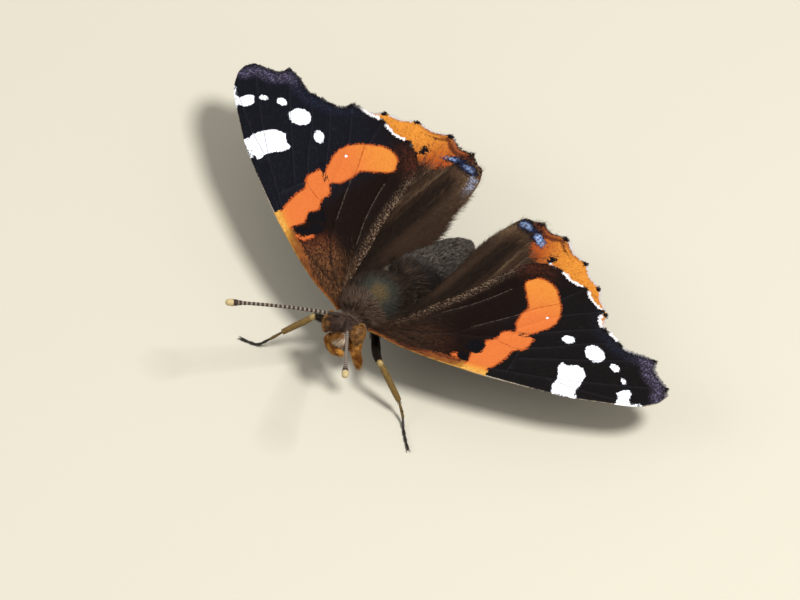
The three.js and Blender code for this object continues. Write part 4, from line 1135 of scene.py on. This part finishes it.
def body_form():
    parts = Parts()
    for form in [*map(node_form, BODY_NODES), ball(*NECK), ball(*WAIST)]:
        parts.add(form)
    points, quads, tris, _ = parts.join()
    mesh = bpy.data.meshes.new("rough")
    mesh.from_pydata(points.tolist(), [], quads.tolist() + tris.tolist())
    rough = in_scene("rough", mesh)
    remesh = rough.modifiers.new("one_skin", "REMESH")
    remesh.mode, remesh.voxel_size = "VOXEL", VOXEL
    even = rough.modifiers.new("even", "SMOOTH")
    even.factor, even.iterations = 0.5, SMOOTHING
    made = rough.evaluated_get(bpy.context.evaluated_depsgraph_get()).to_mesh()
    points, normals = rows_of(made.vertices, "co"), unit(rows_of(made.vertex_normals, "vector"))
    quads, tris = (np.array([tuple(f.vertices) for f in made.polygons if len(f.vertices) == corners], int)
                   .reshape(-1, corners) for corners in (4, 3))
    bpy.data.objects.remove(rough)
    return points - normals * coat_depth(points)[:, None], normals, quads, tris


def body_uv(p):
    """An unwrap of the body: round it and along it."""
    round_it = np.arctan2(p[:, 0], p[:, 2] - 7.4 + 0.18 * p[:, 1]) / (2 * np.pi) + 0.5
    return np.stack([0.02 + 0.95 * round_it, 0.02 + (p[:, 1] + 4.5) / 26], 1)


skin_points, skin_normals, skin_quads, skin_tris = body_form()
settle(new_object("body_skin", skin_points, [skin_quads, skin_tris], body_look(), {"place": skin_points},
                  body_uv(skin_points)), "body_fur", "head", "thorax", "abdomen")
SKIN_FACES = np.concatenate([skin_quads[:, [0, 1, 2]], skin_quads[:, [0, 2, 3]], skin_tris])


def body_roots(count, share):
    """Random places on the skin, as dense as share asks, with their normals."""
    a, b, c = (skin_points[SKIN_FACES[:, k]] for k in range(3))
    weight = np.linalg.norm(np.cross(b - a, c - a), axis=1) * share((a + b + c) / 3)
    at = rng.choice(len(weight), count, p=weight / weight.sum())
    s, t = rng.uniform(0, 1, (2, count))
    s, t = np.where(s + t > 1, 1 - s, s), np.where(s + t > 1, 1 - t, t)
    mix = [(1 - s - t)[:, None], s[:, None], t[:, None]]
    roots, normals = (sum(m * field[SKIN_FACES[at, k]] for k, m in enumerate(mix))
                      for field in (skin_points, skin_normals))
    return roots, unit(normals)


def body_coat(name, slot, look, share, lie, count, width, length, rise, patch=None):
    roots, normals = body_roots(count, share)
    aim = square_to(lie(roots) + rng.normal(0, 0.16, roots.shape), normals)
    aim = aim + normals * (by_place(rise, roots) * rng.uniform(0.5, 1.5, count))[:, None]
    values = {"patch": patch(roots)} if patch else None
    long = by_place(length, roots) * rng.uniform(0.65, 1.2, count)
    settle(strands(name, roots - normals * ROOT_DEPTH, aim, normals, long, width, look, body_uv(roots),
                   values, droop=0.35), slot)


def backward(p):
    """Back along the body, and outward over the wing bases."""
    x, y, _ = p.T
    flank = smooth(1.5, 2.9, np.abs(x)) * (1 - smooth(5.5, 7.5, y))
    flank = flank + 1.3 * smooth(0.7, 1.5, np.abs(x)) * smooth(5, 6, y) * smooth(10, 8, y)
    return np.stack([0.14 * x + 0.7 * np.sign(x) * flank, 1 + 0 * y, -0.12 + 0 * y], 1)


def from_head(p):
    """Over the head the hair stands forward and up, away from its middle."""
    d = p - HEAD_CENTRE
    return np.stack([0.5 * d[:, 0], -0.45 + 0 * d[:, 1], 0.9 + 0 * d[:, 1]], 1)


def thorax_dome(p):
    """1 on top of the thorax, where the fur is short and a painted olive sheen lies in it, 0.5 on the painted
    grey-green sheen round it.
    """
    far = np.hypot((p[:, 0] - 0.7) / 2.0, (p[:, 1] - 2.1) / 2.3) + rng.normal(0, 0.08, len(p))
    return (1 - 0.5 * smooth(0.2, 0.65, far) - 0.5 * smooth(0.65, 1.25, far)) * smooth(7.5, 8.8, p[:, 2])


def abdomen_shade(p):
    """Painted shade: darker hairs at the abdomen's front and low on its flanks."""
    return 0.5 * np.clip(smooth(11, 8.5, p[:, 1] - 0.6 * p[:, 0]) + rng.normal(0, 0.12, len(p)), 0, 1)


FACE_TUFT = in_head(TUFT_IN_HEAD)[0]


def from_tuft(p):
    return np.linalg.norm(p - FACE_TUFT, axis=1)


def head_patch(p):
    """Orange-brown on the face and behind the eyes, and a pale tuft between the palps."""
    d = p - HEAD_CENTRE
    face = smooth(-0.1, -0.9, d[:, 2]) * smooth(0.3, -0.5, d[:, 1])
    side = smooth(1.0, 1.5, np.abs(d[:, 0])) * smooth(0.3, 0.9, d[:, 1] + 0.9)
    return np.maximum(0.5 * np.maximum(face, 0.6 * side), smooth(0.65, 0.4, from_tuft(p)))


def crest(p):
    """Longer hair on top of the head."""
    return 0.75 + 0.4 * smooth(1.0, 0.3, np.abs(p[:, 0] - HEAD_CENTRE[0])) * smooth(8.8, 9.8, p[:, 2])


# The thorax fur's glints are a painted sheen: olive on the dome, grey-green on the ring round it
THORAX_FUR = fur_look("thorax_fur", ("100c0a", "1d1511"), ("2a201a", "5a493c"), ("3b3b34", "5c4d33"), 0.5)
# The abdomen fur's darker patch colours are painted shade
ABDOMEN_FUR = fur_look("abdomen_fur", ("15110f", "221b17"), ("2e2824", "9a8f86"), ("1f1916", "120e0c"))
COLLAR_FUR = fur_look("collar_fur", ("17100d", "261a15"), ("43332a", "806654"))
HEAD_FUR = fur_look("head_fur", ("1a120e", "2c1c14"), ("483730", "8a7060"), ("8a5a2c", "e2dccf"))
PALP_FUR = fur_look("palp_fur", ("5a2f14", "7c451c"), ("94581c", "f0b04e"), ("2c1a10", "d8b88c"))
FACE_FUR = fur_look("face_fur", ("4a2a14", "6a4220"), ("95602a", "cf9446"), ("c0a07a", "f6e6d0"))
body_coat("coat_thorax", "thorax_fur", THORAX_FUR,
          lambda p: smooth(-0.6, 0.4, p[:, 1]) * (1 - smooth(7.2, 8.2, p[:, 1])), backward, count=18500,
          width=0.036, length=lambda p: 1.45 - 0.75 * thorax_dome(p) + 0.5 * smooth(5, 7, p[:, 1]),
          rise=lambda p: 0.45 - 0.2 * thorax_dome(p), patch=lambda p: 0.9 * thorax_dome(p))
body_coat("coat_collar", "thorax_fur", COLLAR_FUR,
          lambda p: smooth(-2.0, -1.4, p[:, 1]) * (1 - smooth(0.3, 1.1, p[:, 1])) * smooth(7.0, 8.2, p[:, 2]),
          backward, count=3500, width=0.03, length=1.5, rise=0.75)
body_coat("coat_abdomen", "body_fur", ABDOMEN_FUR, lambda p: smooth(6.8, 7.8, p[:, 1]), backward, count=19800,
          width=0.034, length=0.8, rise=0.28, patch=abdomen_shade)
body_coat("coat_head", "body_fur", HEAD_FUR, lambda p: 1 - smooth(-1.9, -1.0, p[:, 1]), from_head, count=9500,
          width=0.03, length=crest, rise=0.9, patch=head_patch)

# The pale tuft between the palps
roots, normals = body_roots(FACE_HAIRS, lambda p: smooth(1.15, 0.6, from_tuft(p)))
down = head_way((-0.3, -1.2, -0.6)) + rng.normal(0, 0.2, roots.shape)
pale = smooth(0.7, 0.5, from_tuft(roots)) * (rng.uniform(0, 1, FACE_HAIRS) < 0.9)
settle(strands("coat_face", roots - normals * ROOT_DEPTH, down, normals, rng.uniform(0.8, 1.6, FACE_HAIRS),
               0.03, FACE_FUR, body_uv(roots), {"patch": pale, "shade": rng.uniform(0, 1, FACE_HAIRS)}),
       "body_fur")

# Eyes, with a ring of hairs round each and fine hairs over it
EYE_LOOK = eye_look()
RIM_LOOK = fur_look("eye_rim", ("4a2d18", "6a4526"), ("8a5c30", "c09458"))
EYE_FUR = fur_look("eye_fur", ("4a2d18", "6a4526"), ("8a6030", "caa468"))
for side, s in SIDES:
    centre = EYE_CENTRE * (s, 1, 1)
    points, quads, tris, _ = ball(centre, EYE_RADII, 32, 48)
    points = in_head(points)
    values = {"place": points, "lit": np.full(len(points), EYE_PAINTED_LIGHT[side])}
    settle(new_object(f"eyeball_{side}", points, [quads, tris], EYE_LOOK, values), "eyes", f"eye_{side}")
    turn = rng.uniform(0, 2 * np.pi, RIM_HAIRS)
    spread = rng.normal(0, 0.05, RIM_HAIRS)
    ring = np.stack([s * (0.12 + spread), RIM_REACH * np.cos(turn), RIM_REACH * np.sin(turn)], 1) * EYE_RADII
    out = ring / EYE_RADII**2 * (0.2, 1, 1)
    settle(strands(f"eye_rim_{side}", in_head(ring + centre), head_way(out + (0.5 * s, 0, 0)), head_way(out),
                   0.3, 0.045, RIM_LOOK, np.stack([turn / 7 + 0.04, 0.5 + spread], 1)), "body_fur")
for side, s in SIDES:
    up = unit(rng.normal(0, 1, (EYE_HAIRS, 3)) * (0.7, 1, 1) + (0.5 * s, 0, 0))
    up = up[up[:, 0] * s > 0.15]
    out = head_way(unit(up / EYE_RADII))
    roots = in_head(up * EYE_RADII + EYE_CENTRE * (s, 1, 1))
    settle(strands(f"coat_eye_{side}", roots, out + rng.normal(0, 0.5, up.shape), out, 0.22, 0.014, EYE_FUR,
                   0.5 + 0.4 * up[:, 1:]), "body_fur")

# Antennae: a scape, a ringed shaft and a club with a pale tip
ANTENNA_LOOK = antenna_look()
for side, s in SIDES:
    yaw, pitch = s * ANTENNA_YAW[side], ANTENNA_PITCH[side]
    along = np.array([math.sin(yaw) * math.cos(pitch), -math.cos(yaw) * math.cos(pitch), math.sin(pitch)])
    t = np.arange(0, 1.0001, RING_STEP / 4 / ANTENNA_LENGTH)
    far = t * ANTENNA_LENGTH
    root = in_head(ANTENNA_ROOT * (s, 1, 1))
    path = root + (0, 0, ANTENNA_SCAPE[side]) + along * far[:, None]
    path[:, 2] += ANTENNA_BEND * 4 * t * (1 - t)
    beaded = np.interp(far, *ANTENNA_PROFILE) * (1 + BEADING * np.cos(2 * np.pi * far / RING_STEP))
    path = np.concatenate([root - (0, 0, 0.2), root, path])
    points, quads, tris, _ = tube(path, np.concatenate([[SCAPE_RADIUS] * 2, beaded]), ANTENNA_SIDES)
    reach = np.concatenate([np.repeat(np.concatenate([[0, 0], far]), ANTENNA_SIDES), [0, far[-1]]])
    values = {"place": points, "reach": reach, "ringed": reach - ANTENNA_DARK[side],
              "lit": np.full(len(points), ANTENNA_PAINTED_LIGHT[side])}
    settle(new_object(f"feeler_{side}", points, [quads, tris], ANTENNA_LOOK, values), "antenna_scales",
           f"antenna_{side}")


# Palps and forelegs
def clumps(p):
    """Locks of hair: a tone that changes slowly over the skin, and a little from hair to hair."""
    x, y, z = 4.0 * p.T
    slow = np.sin(1.3 * x + 1.6 * np.sin(1.1 * z)) + np.sin(1.2 * y + 1.7 * z + 1.3 * np.sin(0.9 * x))
    return np.clip(0.5 + 0.24 * slow + rng.normal(0, 0.16, len(p)), 0, 1)


def palp_patch(p):
    """A few dark hairs, and fewer pale ones."""
    return np.where(rng.uniform(0, 1, len(p)) < 0.16, 0.45, 0.95 * (rng.uniform(0, 1, len(p)) < 0.05))


def hairy_tube(name, node, path, radii, count, width, length, rise, patch=None):
    """A closed round limb and the hairs that lie along it."""
    path = curve(path, 0.12)
    radii = spread_out(radii, len(path))
    points, quads, tris, own = tube(path, radii, 16)
    settle(new_object(name, points, [quads, tris], PALP_SKIN, {**own, "place": points}), "palp_scales", node)
    i = rng.integers(0, len(path) - 1, count)
    f = rng.uniform(0, 1, count)[:, None]
    along = along_line(path)[i]
    out = square_to(rng.normal(0, 1, (count, 3)), along)
    roots = path[i] * (1 - f) + path[i + 1] * f + out * (radii[i] * 0.95)[:, None]
    uv = np.stack([np.arctan2(out[:, 0], out[:, 2]) / 6.6 + 0.5, 0.05 + 0.9 * i / len(path)], 1)
    values = {"shade": clumps(roots)}
    if patch:
        values["patch"] = patch(roots)
    aim = along + out * rise * rng.uniform(0.4, 1.6, count)[:, None] + rng.normal(0, 0.08, (count, 3))
    settle(strands(f"coat_{name}", roots, aim, out, length * rng.uniform(0.6, 1.2, count), width, PALP_FUR,
                   uv, values, droop=0.2), "palp_scales")


PALP_SKIN = palp_look()
for side in "LR":
    hairy_tube(f"palp_skin_{side}", f"palp_{side}", in_head(np.array(PALP_PATH[side])), PALP_RADII,
               count=4200, width=0.026, length=0.55, rise=0.38, patch=palp_patch)

# The coiled proboscis
turns, radius = np.linspace(0, 2 * np.pi * COIL_TURNS, COIL_STEPS), np.linspace(*COIL_RADII, COIL_STEPS)
coil = PROBOSCIS_CENTRE + np.stack([0 * turns, -radius * np.sin(turns), radius * np.cos(turns)], 1)
points, quads, tris, own = tube(in_head(coil), np.linspace(*TONGUE_RADII, COIL_STEPS), sides=12)
settle(new_object("tongue", points, [quads, tris], horn_look(), own), "proboscis_horn", "proboscis")

# Legs
LEG_LOOK = leg_look()
# The leg hair's tan glints are darkened as painted shade, like the tibiae
LEG_FUR = fur_look("leg_fur", ("120e0b", "201812"), ("231a14", "4a3c2d"), ("4c3a1c", "755d33"))


def leg_piece(parts, path, radii, pale=0.0, knee=0.0, step=0.1):
    line = curve(path, step) if len(path) > 2 else resample(path, step)
    size = spread_out(radii, len(line))
    parts.add(tube(line, size), pale=pale, knee=knee)
    return line, size


def leg(name, side, path):
    """A leg from its coxa to its claws, and the hairs along it."""
    path = np.array(path, float)
    parts = Parts()
    lines = [leg_piece(parts, path[0:2], [0.55, 0.45]),
             leg_piece(parts, path[1:4], [0.36, 0.42, 0.36, 0.24]),
             leg_piece(parts, path[3:6], [0.26, 0.34, 0.36, 0.35, 0.33, 0.3], pale=1.0)]
    ahead = unit(path[4] - path[3])
    leg_piece(parts, [path[3] - ahead * 0.12, path[3] + ahead * 0.6], [0.2, 0.33, 0.37, 0.34, 0.28],
              pale=1.0, knee=1.0, step=0.06)
    foot = curve(path[5:10], 0.05)
    cuts = [int(cut * (len(foot) - 1)) for cut in TARSUS_CUTS]
    for k, (a, b) in enumerate(zip(cuts, cuts[1:])):
        lines.append(leg_piece(parts, foot[a:b + 1], [0.09, 0.13, 0.16, 0.13], 0 if k else 0.8, step=0.05))
    toe, ahead = foot[-1], unit(foot[-1] - foot[-4])
    across = unit(np.cross(ahead, (0, 0, 1.0)))
    for k in (-1, 1):
        claw = [toe + k * 0.05 * across, toe + ahead * 0.2 + k * 0.16 * across + (0, 0, 0.04),
                toe + ahead * 0.36 + k * 0.18 * across - (0, 0, 0.08)]
        leg_piece(parts, claw, [0.05, 0.04, 0.015], step=0.03)
        spur = [path[5] + k * 0.12 * across, path[5] + unit(path[6] - path[5]) * 0.5 + k * 0.25 * across]
        leg_piece(parts, spur, [0.05, 0.04, 0.01], 0.4, step=0.05)
    points, quads, tris, values = parts.join()
    thing = new_object(f"{name}_form_{side}", points, [quads, tris], LEG_LOOK, {**values, "place": points})
    settle(thing, "leg_scales", f"{name}_{side}")
    hairs = []
    for (line, size), (count, rise, length, patch) in zip(lines, LEG_HAIR):
        i = rng.integers(0, len(line) - 1, count)
        along = along_line(line)[i]
        out = square_to(rng.normal(0, 1, (count, 3)), along)
        hairs.append((line[i] + out * size[i][:, None] * 0.97, along + out * rise, out,
                      np.full(count, length), np.full(count, patch)))
    roots, aim, out, length, patch = (np.concatenate(part) for part in zip(*hairs))
    keep = roots[:, 2] > LOWEST_HAIR
    roots, aim, out, length, patch = (part[keep] for part in (roots, aim, out, length, patch))
    uv = np.clip(np.stack([0.1 + 0.05 * np.abs(roots[:, 0]), 0.2 + 0.03 * (roots[:, 1] + 6)], 1), 0, 1)
    settle(strands(f"coat_{name}_{side}", roots, aim, out, length, 0.028, LEG_FUR, uv, {"patch": patch}),
           "leg_scales")


for side, s in SIDES:
    leg("midleg", side, MIDLEG[side])
    leg("hindleg", side, HINDLEG[side])
    hairy_tube(f"foreleg_skin_{side}", f"foreleg_{side}", np.array(FORELEG) * (s, 1, 1), FORELEG_RADII,
               count=2200, width=0.03, length=0.6, rise=0.4)

# The camera looks as the photo's did, through a long lens
right, upward = unit(VIEW[0]), VIEW[1]
upward = unit(upward - right * (upward @ right))
toward = np.cross(right, upward)
distance = LENS / SENSOR * IMAGE_WIDTH / PIXELS_PER_MM
spot = np.array([0, 0, HINGE[2]]) + right * IMAGE_CENTRE[0] + upward * IMAGE_CENTRE[1] + toward * distance
turn = Matrix(np.stack([right, upward, toward], 1).tolist()).to_quaternion()
camera_data = bpy.data.cameras.new("camera")
camera_data.lens, camera_data.sensor_width = LENS, SENSOR
camera_data.clip_start, camera_data.clip_end = CLIP
camera = in_scene("camera", camera_data)
camera.matrix_world = Matrix.LocRotScale(Vector((spot - SHIFT) * MM), turn, None)
bpy.context.scene.camera = camera

# A plain pale floor and soft light
floor_mesh = bpy.data.meshes.new("floor")
corners = [(x * FLOOR_HALF, y * FLOOR_HALF, 0) for x, y in ((-1, -1), (1, -1), (1, 1), (-1, 1))]
floor_mesh.from_pydata(corners, [], [(0, 1, 2, 3)])
floor_mesh.materials.append(Look("floor", 0.9, colour="b3ae9f").finish())
floor = in_scene("floor", floor_mesh)


def lamp(name, direction, far, size, power):
    data = bpy.data.lights.new(name, "AREA")
    data.shape, data.size, data.energy = "DISK", size, power
    thing = in_scene(name, data)
    way = Vector(direction).normalized()
    thing.location = way * far
    thing.rotation_mode = "QUATERNION"
    thing.rotation_quaternion = way.to_track_quat("Z", "Y")


lamp("key", (0.44, 0.05, 1.0), far=0.6, size=0.14, power=5.0)
lamp("fill", (-0.8, -0.9, 0.9), far=0.8, size=0.5, power=1.6)
world = bpy.data.worlds.new("studio")
world.use_nodes = True
sky = world.node_tree.nodes["Background"].inputs
sky["Color"].default_value = SKY
sky["Strength"].default_value = SKY_STRENGTH
bpy.context.scene.world = world
bpy.context.scene.view_settings.view_transform = "Standard"
